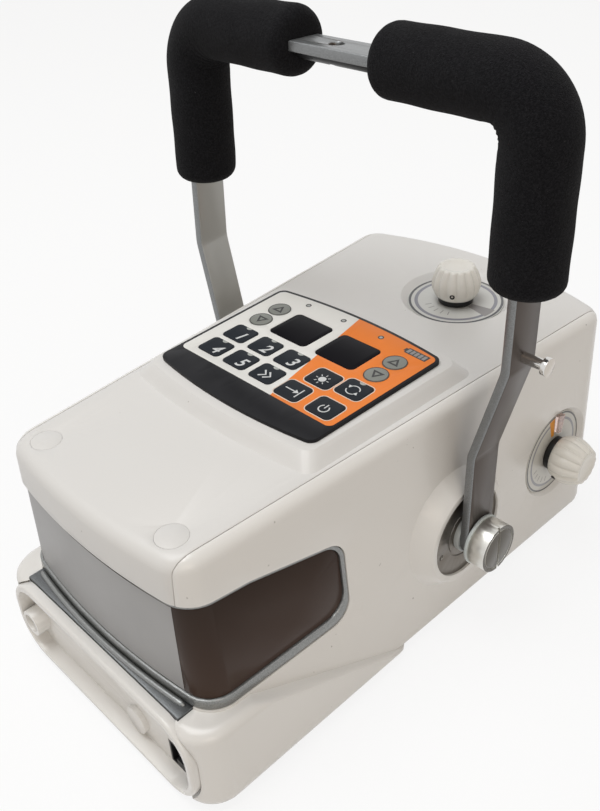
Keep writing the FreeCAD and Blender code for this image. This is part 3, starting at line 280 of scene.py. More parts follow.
def keypad_film(name):
    """White and orange areas inside a black border, with a black band at the rear."""
    tree = Tree(name, (0.8, 0.8, 0.78), 0.42, specular=0.12)
    x, y = (tree.math("MULTIPLY", part, 1000.0) for part in tree.split()[0:2])
    half = tree.math("MULTIPLY_ADD", y, FILM_TAPER, FILM_HALF_WIDTH - FILM_CORNER)
    u = tree.math("SUBTRACT", tree.math("ABSOLUTE", x), half)
    bow = tree.math("MULTIPLY", tree.math("MULTIPLY", x, x), -FILM_BOW / FILM_BOW_REACH ** 2)
    front = tree.math("ADD", bow, FILM_FRONT - FILM_CORNER)
    v_front = tree.math("SUBTRACT", y, front)
    v_rear = tree.math("SUBTRACT", FILM_REAR + FILM_CORNER, y)
    u_out = tree.math("MAXIMUM", u, 0.0)
    v_out = tree.math("MAXIMUM", tree.math("MAXIMUM", v_front, v_rear), 0.0)
    square = tree.math("ADD", tree.math("MULTIPLY", u_out, u_out), tree.math("MULTIPLY", v_out, v_out))
    distance = tree.math("SUBTRACT", tree.math("SQRT", square), FILM_CORNER)
    black = tree.step(distance, -PRINT_SOFT, PRINT_SOFT)
    edge = tree.math("MULTIPLY_ADD", y, ORANGE_SLOPE, ORANGE_START)
    orange = tree.step(tree.math("SUBTRACT", x, edge), -PRINT_SOFT, PRINT_SOFT)
    mottle = tree.noise(60.0, 2.0)
    white = tree.mix(mottle, (0.76, 0.755, 0.73), (0.80, 0.795, 0.77))
    warm = tree.mix(mottle, (0.82, 0.225, 0.045), (0.86, 0.25, 0.055))
    tree.paint(tree.mix(black, tree.mix(orange, white, warm), (0.012, 0.012, 0.014)))
    tree.vary_rough(mottle, 0.05)
    tree.bump(tree.noise(1800.0, 2.0), 0.08, 0.00005)
    return tree.material


def dial_print(name, centre, facing, rings, ground):
    """A printed dial plate with plain rings; facing is the axis it looks along."""
    tree = Tree(name, ground, 0.3, coat=0.2)
    x, y, z = tree.split()
    first, second = (x, y) if facing == "z" else (y, z)
    radius = tree.radius(centre[0], centre[1], first, second)
    shade = tree.mix(tree.noise(40.0), darker(ground, 0.95), ground)
    for inner, outer, color in rings:
        outside = tree.step(radius, outer - RING_SOFT, outer + RING_SOFT)
        band = tree.math("MULTIPLY", tree.step(radius, inner - RING_SOFT, inner + RING_SOFT),
                         tree.math("SUBTRACT", 1.0, outside))
        shade = tree.mix(band, shade, color)
    tree.paint(shade)
    tree.vary_rough(tree.noise(60.0), 0.04)
    tree.bump(tree.noise(1500.0), 0.05, 0.00005)
    return tree.material


def clear_plastic(name, color, weight=0.9):
    tree = Tree(name, color, 0.08)
    tree.paint(tree.mix(tree.noise(20.0), darker(color, 0.94), color))
    tree.set("Transmission Weight", weight)
    tree.set("IOR", 1.49)
    return tree.material


M_WHITE = white_plastic("moulded_white", (0.78, 0.765, 0.74))
# The top cover and its plugs are the same plastic as the shells; their colour is painted darker, as painted
# shade on the top.
M_SHADED_COVER = white_plastic("moulded_white_cover_shaded", (0.71, 0.70, 0.685), 0.36)
M_KNOB = white_plastic("knob_white", (0.80, 0.78, 0.73), 0.2)
M_SMOKED = smoked_plastic("smoked_window")
M_SILVER = metallic_plastic("silver_trim", (0.26, 0.265, 0.26))
# The ledge is the same silver trim as the window's frame, its colour painted darker as painted shade.
M_SHADED_LEDGE = metallic_plastic("silver_ledge", (0.12, 0.125, 0.128))
M_BLACK = plain_plastic("black_plastic", (0.012, 0.012, 0.013), 0.38)
M_RUBBER = plain_plastic("foot_rubber", (0.03, 0.03, 0.03), 0.8, 600.0, 0.0002)
M_FOAM = foam("grip_foam")
M_ARM = arm_paint("arm_metal")
# face is the share of each metal's colour left by the painted shade on its faces square to the axis.
M_PIVOT = turned_metal("pivot_metal", (0.72, 0.71, 0.67), PIVOT, face=0.17)
M_RING = turned_metal("ring_metal", (0.42, 0.40, 0.37), PIVOT, 0.36, 6.0, 0.42)
M_SHAFT = turned_metal("shaft_steel", (0.55, 0.55, 0.54), PIVOT, 0.22)
M_WASHER = plain_plastic("washer_plastic", (0.55, 0.60, 0.60), 0.35, coat=0.2)
M_SPACER = plain_plastic("spacer_plastic", (0.50, 0.53, 0.53), 0.4)
M_CHROME = turned_metal("stud_chrome", (0.70, 0.69, 0.67), PIVOT, 0.14, face=0.8)
M_FILM = keypad_film("keypad_film")
M_KEY = plain_plastic("key_slate", (0.022, 0.026, 0.032), 0.5, 900.0, 0.00006, specular=0.06)
M_ROUND = plain_plastic("round_key_grey", (0.235, 0.245, 0.225), 0.4, 900.0, 0.00006)
M_DISPLAY = plain_plastic("display_dark", (0.008, 0.0075, 0.0095), 0.35, specular=0.03)
M_MARK = plain_plastic("light_mark", (0.66, 0.68, 0.69), 0.45)
M_DARK_MARK = plain_plastic("dark_mark", (0.045, 0.045, 0.045), 0.45)
M_GREY_MARK = plain_plastic("grey_mark", (0.30, 0.29, 0.29), 0.45)
M_RIM_MARK = plain_plastic("key_rim", (0.78, 0.66, 0.57), 0.45)
M_LENS = plain_plastic("indicator_lens", (0.42, 0.44, 0.42), 0.25, coat=0.4)
M_LABEL = plain_plastic("blank_plate", (0.38, 0.38, 0.385), 0.4, 500.0, 0.00004)
M_ORANGE = plain_plastic("orange_mark", (0.80, 0.32, 0.02), 0.35)
M_POINTER = clear_plastic("clear_pointer", (0.86, 0.70, 0.66))
M_BEAM = clear_plastic("beam_window", (0.80, 0.84, 0.86), 0.8)
TOP_RINGS = [(30.9, 32.6, (0.05, 0.05, 0.055)), (26.2, 28.6, (0.20, 0.20, 0.235))]
SIDE_RINGS = [(29.4, 30.6, (0.05, 0.05, 0.055)), (24.6, 26.4, (0.25, 0.25, 0.28))]
M_TOP_DIAL = dial_print("top_dial_print", TOP_DIAL, "z", TOP_RINGS, (0.56, 0.56, 0.54))
M_SIDE_DIAL = dial_print("side_dial_print", SIDE_DIAL, "x", SIDE_RINGS, (0.58, 0.57, 0.53))
M_ZINC = plain_plastic("zinc_plate", (0.55, 0.56, 0.56), 0.4, metallic=1.0)
M_TANK = plain_plastic("tank_paint", (0.30, 0.32, 0.34), 0.45)
M_TUBE = clear_plastic("tube_glass", (0.80, 0.83, 0.83), 0.7)
M_RESIN = plain_plastic("cast_resin", (0.18, 0.11, 0.07), 0.5)
M_CELLS = plain_plastic("battery_wrap", (0.05, 0.09, 0.18), 0.4)
M_BOARD = plain_plastic("board_green", (0.03, 0.17, 0.08), 0.4)
M_CERAMIC = plain_plastic("lamp_ceramic", (0.78, 0.77, 0.73), 0.5)
M_MIRROR = plain_plastic("mirror_film", (0.85, 0.86, 0.87), 0.06, metallic=1.0)
M_LEAD = plain_plastic("shutter_lead", (0.20, 0.21, 0.23), 0.5, metallic=0.8)

NODE_MATERIALS = {
    "top_cover": M_SHADED_COVER, "cover_plugs": M_SHADED_COVER, "right_side_shell": M_WHITE, "left_side_shell": M_WHITE,
    "front_panel": M_WHITE, "rear_base_panel": M_WHITE, "smoked_window": M_SMOKED, "window_trim": M_SILVER,
    "rear_ledge": M_SHADED_LEDGE, "beam_window": M_BEAM, "charger_socket": M_BLACK, "floor_feet": M_RUBBER,
    "keypad_plate": M_FILM, "kv_display": M_DISPLAY, "mas_display": M_DISPLAY, "pivot_rings": M_RING,
    "pivot_shafts": M_SHAFT, "pivot_spacers": M_SPACER, "pivot_washers": M_WASHER, "pivot_caps": M_PIVOT,
    "handle_bar": M_ARM, "bar_liner": M_BLACK, "left_grip": M_FOAM, "right_grip": M_FOAM,
    "strap_stud": M_CHROME, "top_dial_plate": M_TOP_DIAL, "side_dial_plate": M_SIDE_DIAL,
    "top_spindle": M_BLACK, "side_spindle": M_BLACK, "top_knob": M_KNOB, "side_knob": M_KNOB,
    "chassis_plate": M_ZINC, "battery_pack": M_CELLS, "xray_tank": M_TANK, "tank_lid": M_TANK,
    "high_voltage_transformer": M_RESIN, "xray_tube": M_TUBE, "control_board": M_BOARD,
    "collimator_frame": M_TANK, "collimator_lamp": M_CERAMIC, "beam_mirror": M_MIRROR,
    "right_shutter": M_LEAD, "left_shutter": M_LEAD, "upper_shutter": M_LEAD, "lower_shutter": M_LEAD,
    "shutter_guide": M_ZINC,
}
SQUARE_KEYS = ("preset_key_1", "preset_key_2", "preset_key_3", "preset_key_4", "preset_key_5", "fast_key",
               "store_key", "lamp_key", "display_turn_key", "power_key")
ROUND_KEYS = ("kv_up_key", "kv_down_key", "mas_up_key", "mas_down_key")
NODE_MATERIALS.update({name: M_KEY for name in SQUARE_KEYS})
NODE_MATERIALS.update({name: M_ROUND for name in ROUND_KEYS})
BEVELS = {
    "handle_bar": 0.8, "window_trim": 0.5, "rear_ledge": 0.5, "pivot_caps": 0.7, "pivot_washers": 0.4,
    "cover_plugs": 0.08, "keypad_plate": 0.25, "top_cover": 0.3, "right_side_shell": 0.3,
    "left_side_shell": 0.3, "rear_base_panel": 0.8, "strap_stud": 0.5,
}

for name, node in NODES.items():
    node.data.materials.clear()
    node.data.materials.append(NODE_MATERIALS[name])


# Piece helpers

PRINT = 0.00006


def new_object(name, mesh, material, body, smooth=True):
    obj = bpy.data.objects.new(name, mesh)
    bpy.context.scene.collection.objects.link(obj)
    mesh.materials.append(material)
    if smooth:
        mesh.shade_smooth()
    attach(obj, body)
    return obj


def face_outward(mesh):
    bm = bmesh.new()
    bm.from_mesh(mesh)
    bmesh.ops.recalc_face_normals(bm, faces=bm.faces[:])
    bm.to_mesh(mesh)
    bm.free()


def ring_mesh(name, rings):
    """A closed skin over rings of points, each with the same count."""
    mesh = bpy.data.meshes.new(name)
    count = len(rings[0])
    points = [p for ring in rings for p in ring]
    faces = []
    for i in range(len(rings) - 1):
        for j in range(count):
            k = (j + 1) % count
            faces.append((i * count + j, i * count + k, (i + 1) * count + k, (i + 1) * count + j))
    faces.append(tuple(reversed(range(count))))
    faces.append(tuple(range((len(rings) - 1) * count, len(rings) * count)))
    mesh.from_pydata(points, [], faces)
    mesh.update()
    return mesh


def flat_mesh(name, outline, thick, holes=()):
    """A thin slab over a closed outline in the XY plane, with its underside at z = 0."""
    mesh = bpy.data.meshes.new(name)
    bm = bmesh.new()
    for loop in (outline, *holes):
        points = [bm.verts.new((x, y, 0.0)) for x, y in loop]
        for i, point in enumerate(points):
            bm.edges.new((point, points[(i + 1) % len(points)]))
    made = bmesh.ops.triangle_fill(bm, edges=bm.edges[:], use_beauty=True, use_dissolve=False)
    faces = [f for f in made["geom"] if isinstance(f, bmesh.types.BMFace)]
    for face in faces:
        if face.normal.z < 0:
            face.normal_flip()
    grown = bmesh.ops.extrude_face_region(bm, geom=faces)
    upper = [v for v in grown["geom"] if isinstance(v, bmesh.types.BMVert)]
    bmesh.ops.translate(bm, vec=(0, 0, thick), verts=upper)
    bmesh.ops.recalc_face_normals(bm, faces=bm.faces[:])
    bm.to_mesh(mesh)
    bm.free()
    return mesh


def oval(rx, ry, count=40, start=0.0, end=math.tau):
    """Points round an ellipse, or along a stretch of it with both its ends."""
    full = abs(end - start - math.tau) < 1e-6
    steps = count if full else count - 1
    angles = [start + (end - start) * i / steps for i in range(count)]
    return [(rx * math.cos(angle), ry * math.sin(angle)) for angle in angles]


def rounded_outline(half_x, half_y, corner, count=8):
    points = []
    for sx, sy, start in ((1, 1, 0.0), (-1, 1, 0.25), (-1, -1, 0.5), (1, -1, 0.75)):
        cx, cy = sx * (half_x - corner), sy * (half_y - corner)
        for i in range(count + 1):
            turn = math.tau * (start + 0.25 * i / count)
            points.append((cx + corner * math.cos(turn), cy + corner * math.sin(turn)))
    return points


def stroke(points, width):
    """The outline of a pen line of even width through points."""
    left, right = [], []
    for i, point in enumerate(points):
        before = Vector(points[max(i - 1, 0)])
        after = Vector(points[min(i + 1, len(points) - 1)])
        along = (after - before).normalized()
        side = Vector((-along.y, along.x)) * width / 2
        left.append(tuple(Vector(point) + side))
        right.append(tuple(Vector(point) - side))
    return left + right[::-1]


def scaled(outline):
    return [(x * MM, y * MM) for x, y in outline]


def printed(name, outline, x, y, z, material, body, holes=(), slot=None, turn=0.0):
    """A thin printed mark whose outline is in millimetres about (x, y), lying at height z."""
    mesh = flat_mesh(name, scaled(outline), PRINT, [scaled(h) for h in holes])
    mesh.transform(Matrix.Translation((x * MM, y * MM, z)) @ Matrix.Rotation(turn, 4, "Z"))
    return new_object(name, mesh, material, body, smooth=False)


# Keypad marks: plain numerals and simple signs, sizes in millimetres

NUMERAL_SIZE = 12.0
NUMERAL_SLANT = 0.22
NUMERAL_WEIGHT = 0.2
NUMERAL_SHIFT = (2.6, -2.4)
LENS_RADII = (2.3, 1.9)
LENS_SHIFT = 8.1
PEN = 0.8
SIGN_DROP = -1.2
CHEVRON = ((-2.2, -3.2), (1.4, 0.2), (-2.2, 3.6))
CHEVRON_PITCH = 4.0
CHEVRON_PEN = 1.2
LAMP_RADIUS = 2.5
LAMP_RAYS = 8
LAMP_RAY_ENDS = (3.4, 5.0)
LAMP_RAY_PEN = 0.55
POWER_RADIUS = 3.2
TURN_RADIUS = 4.2
TURN_PEN = 0.7
TURN_DROP = -1.0
TURN_TIP = ((-1.5, 0.9), (0.0, -1.6), (1.5, 1.2))
ROUND_KEY_RIM = (7.6, 7.15)
OUTLINE_OUTER = (10.5, 9.3, 4.2)
OUTLINE_INNER = (9.85, 8.65, 3.5)
INDICATORS = ((-39.4, 36.4), (-7.5, 36.7), (24.8, 36.6))
INDICATOR_RING = 2.0
INDICATOR_LENS = 1.15
BATTERY_PLACE = (55.0, 35.4)
BATTERY_TURN = -0.05
BATTERY_BARS = 5


def middle(node):
    """The middle of a node's top: x and y in millimetres, z in metres."""
    low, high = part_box(node)
    return (low.x + high.x) / 2 / MM, (low.y + high.y) / 2 / MM, high.z


def numeral(number, node):
    """A slanted numeral on a key, as a thin printed mark."""
    name = f"numeral_{number}"
    curve = bpy.data.curves.new(name, "FONT")
    curve.body = str(number)
    curve.size = NUMERAL_SIZE * MM
    curve.shear = NUMERAL_SLANT
    curve.extrude = PRINT / 2
    curve.offset = NUMERAL_WEIGHT * MM
    curve.align_x = "CENTER"
    curve.align_y = "CENTER"
    holder = bpy.data.objects.new(name + "_curve", curve)
    bpy.context.scene.collection.objects.link(holder)
    bpy.context.view_layer.update()
    mesh = bpy.data.meshes.new_from_object(holder)
    bpy.data.objects.remove(holder)
    x, y, top = middle(node)
    place = ((x + NUMERAL_SHIFT[0]) * MM, (y + NUMERAL_SHIFT[1]) * MM, top + PRINT / 2)
    mesh.transform(Matrix.Translation(place))
    return new_object(name, mesh, M_MARK, node + "_cap", smooth=False)


def on_key(name, outline, node, dx=0.0, dy=0.0, turn=0.0):
    """A pale mark on a key, dx and dy millimetres from its middle."""
    x, y, top = middle(node)
    printed(name, outline, x + dx, y + dy, top, M_MARK, node + "_cap", slot="key_grey", turn=turn)


for number in range(1, 6):
    numeral(number, f"preset_key_{number}")
for node in SQUARE_KEYS[:6] + ("display_turn_key",):
    x, y, top = middle(node)
    half_oval = oval(*LENS_RADII, 24, math.pi, math.tau)
    printed("lens_" + node, half_oval, x, y + LENS_SHIFT, top, M_LENS, node + "_cap", slot="round_key_grey")

for i in range(2):
    points = [(x + CHEVRON_PITCH * i, y) for x, y in CHEVRON]
    on_key(f"chevron_{i}", stroke(points, CHEVRON_PEN), "fast_key", -1.2, -1.6)

on_key("store_bar", stroke([(5.2, -4.5), (5.2, 4.5)], PEN), "store_key")
on_key("store_line", stroke([(-6.0, 0.0), (1.6, 0.0)], PEN), "store_key")
on_key("store_arrow", [(1.4, -2.0), (4.6, 0.0), (1.4, 2.0)], "store_key")

on_key("lamp_disc", oval(LAMP_RADIUS, LAMP_RADIUS, 36), "lamp_key", dy=SIGN_DROP)
for i in range(LAMP_RAYS):
    angle = math.tau * i / LAMP_RAYS
    ray = [(math.cos(angle) * r, math.sin(angle) * r) for r in LAMP_RAY_ENDS]
    on_key(f"lamp_ray_{i}", stroke(ray, LAMP_RAY_PEN), "lamp_key", dy=SIGN_DROP)

power_arc = oval(POWER_RADIUS, POWER_RADIUS, 40, math.radians(125), math.radians(415))
on_key("power_arc", stroke(power_arc, PEN), "power_key", dy=SIGN_DROP)
on_key("power_bar", stroke([(0.0, 0.3), (0.0, 4.3)], PEN), "power_key", dy=SIGN_DROP)

turn_arc = oval(TURN_RADIUS, TURN_RADIUS, 30, math.radians(15), math.radians(140))
tip_x = math.cos(math.radians(152)) * TURN_RADIUS
tip_y = math.sin(math.radians(152)) * TURN_RADIUS
turn_tip = [(tip_x + dx, tip_y + dy) for dx, dy in TURN_TIP]
for i in range(2):
    on_key(f"turn_arc_{i}", stroke(turn_arc, TURN_PEN), "display_turn_key", dy=TURN_DROP, turn=math.pi * i)
    on_key(f"turn_tip_{i}", turn_tip, "display_turn_key", dy=TURN_DROP, turn=math.pi * i)

for node in ROUND_KEYS:
    x, y, top = middle(node)
    up = 1 if "_up_" in node else -1
    outer = [(-4.3, -3.0 * up), (4.3, -3.0 * up), (0.0, 4.2 * up)]
    inner = [(-2.0, -1.65 * up), (2.0, -1.65 * up), (0.0, 1.7 * up)]
    printed("arrow_" + node, outer, x, y, top, M_DARK_MARK, node + "_cap", [inner], "key_grey")
    rim, rim_hole = (oval(radius, radius, 48) for radius in ROUND_KEY_RIM)
    printed("rim_" + node, rim, x, y, top, M_DARK_MARK, node + "_cap", [rim_hole], "key_grey")

plate_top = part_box("keypad_plate")[1].z
for node in ("store_key", "lamp_key", "display_turn_key", "power_key"):
    x, y, top = middle(node)
    printed("outline_" + node, rounded_outline(*OUTLINE_OUTER), x, y, plate_top, M_RIM_MARK, "housing",
            [rounded_outline(*OUTLINE_INNER)], "plate_film")
for i, (x, y) in enumerate(INDICATORS):
    ring_hole = oval(INDICATOR_LENS, INDICATOR_LENS, 32)
    printed(f"indicator_ring_{i}", oval(INDICATOR_RING, INDICATOR_RING, 32), x, y, plate_top, M_DARK_MARK,
            "housing", [ring_hole], "key_grey")
    printed(f"indicator_lens_{i}", oval(INDICATOR_LENS, INDICATOR_LENS, 24), x, y, plate_top, M_LENS,
            "housing", slot="round_key_grey")

battery = [(-8.4, -2.9), (8.4, -2.9), (8.4, 2.9), (-8.4, 2.9),
           (-8.4, 1.6), (-10.0, 1.6), (-10.0, -1.6), (-8.4, -1.6)]
bars = [[(-7.6 + i * 3.1, -2.1), (-5.3 + i * 3.1, -2.1), (-5.3 + i * 3.1, 2.1), (-7.6 + i * 3.1, 2.1)]
        for i in range(BATTERY_BARS)]
printed("battery_sign", battery, *BATTERY_PLACE, plate_top, M_DARK_MARK, "housing", bars, "key_grey",
        turn=BATTERY_TURN)
for i, bar in enumerate(bars):
    printed(f"battery_bar_{i}", bar, *BATTERY_PLACE, plate_top, M_GREY_MARK, "housing",
            slot="round_key_grey", turn=BATTERY_TURN)


# Blank label plate on the rear of the smoked window, laid on its curved face

BEHIND = -0.3
LABEL_X = (-72.0, 69.0)
LABEL_Z = (72.0, 136.6)
LABEL_COLUMNS = 70
LABEL_ROWS = 24
LABEL_LIFT = 0.12
LABEL_SIDE_LIMIT = -0.15


def between(ends, share):
    return ends[0] + (ends[1] - ends[0]) * share


def seen_from_behind(node, x, z):
    """The point and the normal where a line from behind first meets a node, or None."""
    found, place, normal = NODES[node].ray_cast(Vector((x, BEHIND, z)), Vector((0, 1, 0)))[:3]
    return (place, normal) if found else None


def label_mesh():
    mesh = bpy.data.meshes.new("rear_label")
    bm = bmesh.new()
    grid = []
    for i in range(LABEL_COLUMNS + 1):
        x = between(LABEL_X, i / LABEL_COLUMNS) * MM
        column = []
        for j in range(LABEL_ROWS + 1):
            hit = seen_from_behind("smoked_window", x, between(LABEL_Z, j / LABEL_ROWS) * MM)
            column.append(bm.verts.new(hit[0] + hit[1] * LABEL_LIFT * MM) if hit else None)
        grid.append(column)
    for i in range(LABEL_COLUMNS):
        for j in range(LABEL_ROWS):
            corners = (grid[i][j], grid[i + 1][j], grid[i + 1][j + 1], grid[i][j + 1])
            if all(corners) and max(c.co.y for c in corners) < LABEL_SIDE_LIMIT:
                bm.faces.new(corners)
    loose = [v for v in bm.verts if not v.link_faces]
    bmesh.ops.delete(bm, geom=loose, context="VERTS")
    bm.to_mesh(mesh)
    bm.free()
    return mesh


new_object("rear_label", label_mesh(), M_LABEL, "housing")


# Half-round silver bead on the ledge, along the foot of the smoked window

BEAD_RADIUS = 2.1
BEAD_X = (-73.0, 71.5)
BEAD_STEPS = 64
BEAD_SIDES = 12
BEAD_SINK = 0.3
BEAD_CAST_HEIGHT = 3.0


def bead_mesh():
    ledge_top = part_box("rear_ledge")[1].z
    middles = []
    for i in range(BEAD_STEPS + 1):
        x = between(BEAD_X, i / BEAD_STEPS) * MM
        hit = seen_from_behind("window_trim", x, ledge_top + BEAD_CAST_HEIGHT * MM)
        if hit:
            middles.append(Vector((x, hit[0].y - BEAD_RADIUS * 0.9 * MM, ledge_top - BEAD_SINK * MM)))
    last = len(middles) - 1
    rings = []
    for i, centre in enumerate(middles):
        along = (middles[min(i + 1, last)] - middles[max(i - 1, 0)]).normalized()
        across = Vector((along.y, -along.x, 0.0))
        taper = math.sqrt(min(1.0, (min(i, last - i) + 0.3) / 1.6))
        size = BEAD_RADIUS * MM * taper
        ring = []
        for j in range(BEAD_SIDES + 1):
            angle = math.pi * j / BEAD_SIDES
            ring.append(centre + across * (math.cos(angle) * size) + Vector((0, 0, math.sin(angle) * size)))
        rings.append(ring)
    mesh = ring_mesh("window_bead", rings)
    face_outward(mesh)
    return mesh


new_object("window_bead", bead_mesh(), M_SILVER, "housing")


# Foam grips: elbow sleeves with soft rounded ends, sizes in millimetres

LEAN = math.radians(2.6)
GRIP_FOOT = 176.0
GRIP_TOP = 279.0
GRIP_OUT = 129.0
GRIP_BEND = 27.0
GRIP_END = 31.0
GRIP_RADIUS = 20.3
GRIP_SOFT = 8.0
GRIP_SIDES = 64
GRIP_STEPS = 84
GRIP_END_STEPS = (0.0, 0.4, 1.2, 2.4, 4.0, 6.0, 8.5)
CREASE_DEPTH = 0.9


def from_handle(x, y, h):
    """A point of the upright handle, in millimetres, brought to its leaning place in metres."""
    return (x * MM,
            PIVOT[0] + (y * math.cos(LEAN) + h * math.sin(LEAN)) * MM,
            PIVOT[1] + (h * math.cos(LEAN) - y * math.sin(LEAN)) * MM)


def ripple(angle, length, side):
    """Small unevenness of the foam's skin, in millimetres."""
    return (0.22 * math.sin(angle * 3 + length * 0.045 + side)
            + 0.16 * math.sin(angle * 5 - length * 0.083 + 2 * side)
            + 0.12 * math.sin(angle * 2 + length * 0.21))


def grip_line(s, rise, arc):
    """The sleeve's centre line rises up the arm, turns and runs along the top bar."""
    inner_x = GRIP_OUT - GRIP_BEND
    inner_z = GRIP_TOP - GRIP_BEND
    if s <= rise:
        return Vector((GRIP_OUT, 0, GRIP_FOOT + s)), Vector((0, 0, 1))
    if s <= rise + arc:
        turn = (s - rise) / GRIP_BEND
        centre = Vector((inner_x + GRIP_BEND * math.cos(turn), 0, inner_z + GRIP_BEND * math.sin(turn)))
        return centre, Vector((-math.sin(turn), 0, math.cos(turn)))
    return Vector((inner_x - (s - rise - arc), 0, GRIP_TOP)), Vector((-1, 0, 0))


def grip_mesh(name, side):
    rise = GRIP_TOP - GRIP_BEND - GRIP_FOOT
    arc = math.pi / 2 * GRIP_BEND
    total = rise + arc + GRIP_OUT - GRIP_BEND - GRIP_END
    end = GRIP_END_STEPS[-1]
    stations = [*GRIP_END_STEPS]
    stations += [end + (total - 2 * end) * i / GRIP_STEPS for i in range(1, GRIP_STEPS)]
    stations += [total - s for s in reversed(GRIP_END_STEPS)]
    rings = []
    for s in stations:
        centre, along = grip_line(s, rise, arc)
        near = min(s, total - s)
        shrink = GRIP_SOFT - math.sqrt(max(GRIP_SOFT ** 2 - (GRIP_SOFT - min(near, GRIP_SOFT)) ** 2, 0.0))
        crease = math.exp(-((s - rise - arc / 2) / (arc * 0.45)) ** 2) * (0.5 + 0.5 * math.sin(s * 0.95))
        outward = along.cross(Vector((0, 1, 0)))
        ring = []
        for j in range(GRIP_SIDES):
            angle = math.tau * j / GRIP_SIDES
            radius = GRIP_RADIUS - shrink + ripple(angle, s, side) * min(near / GRIP_SOFT, 1.0)
            radius -= CREASE_DEPTH * crease * max(0.0, -math.cos(angle))
            point = centre - outward * (math.cos(angle) * radius) + Vector((0, math.sin(angle) * radius, 0))
            ring.append(from_handle(point.x * side, point.y, point.z))
        rings.append(ring)
    mesh = ring_mesh(name, rings)
    face_outward(mesh)
    return mesh


for name, side, node in (("foam_sleeve_right", 1, "right_grip"), ("foam_sleeve_left", -1, "left_grip")):
    sleeve = new_object(name, grip_mesh(name, side), M_FOAM, "handle")
    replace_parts(sleeve, node)


# Fluted knobs with a hollow crown, sizes in millimetres: radius and height up the outside, then inwards

KNOB_PROFILE = [(12.6, 0.0), (13.8, 0.4), (15.2, 2.2), (16.4, 5.0), (16.9, 8.0), (16.7, 11.0), (16.0, 14.0),
                (14.9, 17.0), (13.8, 19.4), (12.9, 21.0), (12.0, 21.8), (10.6, 22.0), (9.2, 21.7),
                (7.6, 21.1), (5.0, 20.8), (1.6, 20.7)]
FLUTED_RINGS = range(2, 12)
CROWN_RINGS = range(10, 12)
FLUTES = 14
FLUTE_POINTS = 12
FLUTE_DEPTH = 1.7
CROWN_SHARE = 0.6
SCREW_RADIUS = 1.7
SCREW_LENGTH = 0.5
SCREW_PLACE = (16.35, 0.0, 6.2)
SCREW_TURN = math.radians(-62)


def knob_mesh(name):
    """A crown knob about +Z with its foot at z = 0."""
    count = FLUTES * FLUTE_POINTS
    rings = []
    for i, (radius, z) in enumerate(KNOB_PROFILE):
        depth = FLUTE_DEPTH * min(1.0, (z - 1.0) / 6.0) if i in FLUTED_RINGS else 0.0
        if i in CROWN_RINGS:
            depth *= CROWN_SHARE
        ring = []
        for j in range(count):
            angle = math.tau * j / count
            wave = abs(math.sin(angle * FLUTES / 2)) ** 0.7
            r = radius - depth * (1 - wave)
            ring.append((r * math.cos(angle) * MM, r * math.sin(angle) * MM, z * MM))
        rings.append(ring)
    return ring_mesh(name, rings)


def screw_mesh(name):
    """A small socket screw's head with a six-sided hollow, about +Z."""
    socket = oval(SCREW_RADIUS * 0.5, SCREW_RADIUS * 0.5, 6)
    return flat_mesh(name, scaled(oval(SCREW_RADIUS, SCREW_RADIUS, 24)), SCREW_LENGTH * MM, [scaled(socket)])


def dress_knob(name, node, body, foot, turn):
    mesh = knob_mesh(name)
    mesh.transform(Matrix.Translation(foot) @ turn)
    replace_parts(new_object(name, mesh, M_KNOB, body), node)
    screw = screw_mesh(name + "_screw")
    onto_side = Matrix.Translation([v * MM for v in SCREW_PLACE]) @ Matrix.Rotation(math.pi / 2, 4, "Y")
    screw.transform(Matrix.Translation(foot) @ turn @ Matrix.Rotation(SCREW_TURN, 4, "Z") @ onto_side)
    new_object(name + "_screw", screw, M_BLACK, body, smooth=False)


low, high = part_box("top_knob")
foot = Vector(((low.x + high.x) / 2, (low.y + high.y) / 2, low.z))
dress_knob("top_knob_crown", "top_knob", "top_dial_knob", foot, Matrix.Identity(4))
low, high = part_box("side_knob")
foot = Vector((low.x, (low.y + high.y) / 2, (low.z + high.z) / 2))
dress_knob("side_knob_crown", "side_knob", "side_dial_knob", foot, Matrix.Rotation(math.pi / 2, 4, "Y"))


# Dial marks: a coloured wedge and a clear pointer on the side, a grey wedge on the top, plain ticks on both

TICKS = 5
TICK_STEP = 14


def sector(inner, outer, start, end, count=16):
    """A stretch of a ring, radii in millimetres and angles in degrees."""
    arc = [math.radians(start + (end - start) * i / (count - 1)) for i in range(count)]
    return ([(outer * math.cos(a), outer * math.sin(a)) for a in arc]
            + [(inner * math.cos(a), inner * math.sin(a)) for a in reversed(arc)])


def side_mark(name, outline, material, lift=0.0, thick=PRINT):
    """A mark on the side dial, drawn as seen from the right with the rear to the left."""
    mesh = flat_mesh(name, scaled(outline), thick)
    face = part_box("side_dial_plate")[1].x + lift
    mesh.transform(Matrix(((0, 0, 1, face), (1, 0, 0, SIDE_DIAL[0]), (0, 1, 0, SIDE_DIAL[1]), (0, 0, 0, 1))))
    return new_object(name, mesh, material, "housing", smooth=False)


def top_mark(name, outline):
    dial_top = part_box("top_dial_plate")[1].z
    printed(name, outline, TOP_DIAL[0] / MM, TOP_DIAL[1] / MM, dial_top, M_GREY_MARK, "housing",
            slot="round_key_grey")


side_mark("side_wedge", sector(14.5, 29.0, 92, 104), M_ORANGE)
side_mark("side_pointer", sector(17.5, 30.5, 78, 91), M_POINTER, 0.1 * MM, 3.0 * MM)
for i in range(TICKS):
    start = 196 + i * TICK_STEP
    side_mark(f"side_tick_{i}", sector(19.0, 23.0, start, start + 1.6, 4), M_GREY_MARK)
top_mark("top_wedge", sector(12.5, 29.5, -12, 10))
for i in range(TICKS):
    start = 236 + i * TICK_STEP
    top_mark(f"top_tick_{i}", sector(17.5, 22.0, start, start + 1.8, 4))


# Softer edges on the CAD solids, widths in millimetres

PLAIN_BEVEL = 0.15
BEVEL_ANGLE = math.radians(38)
WELD_DISTANCE = 0.00001


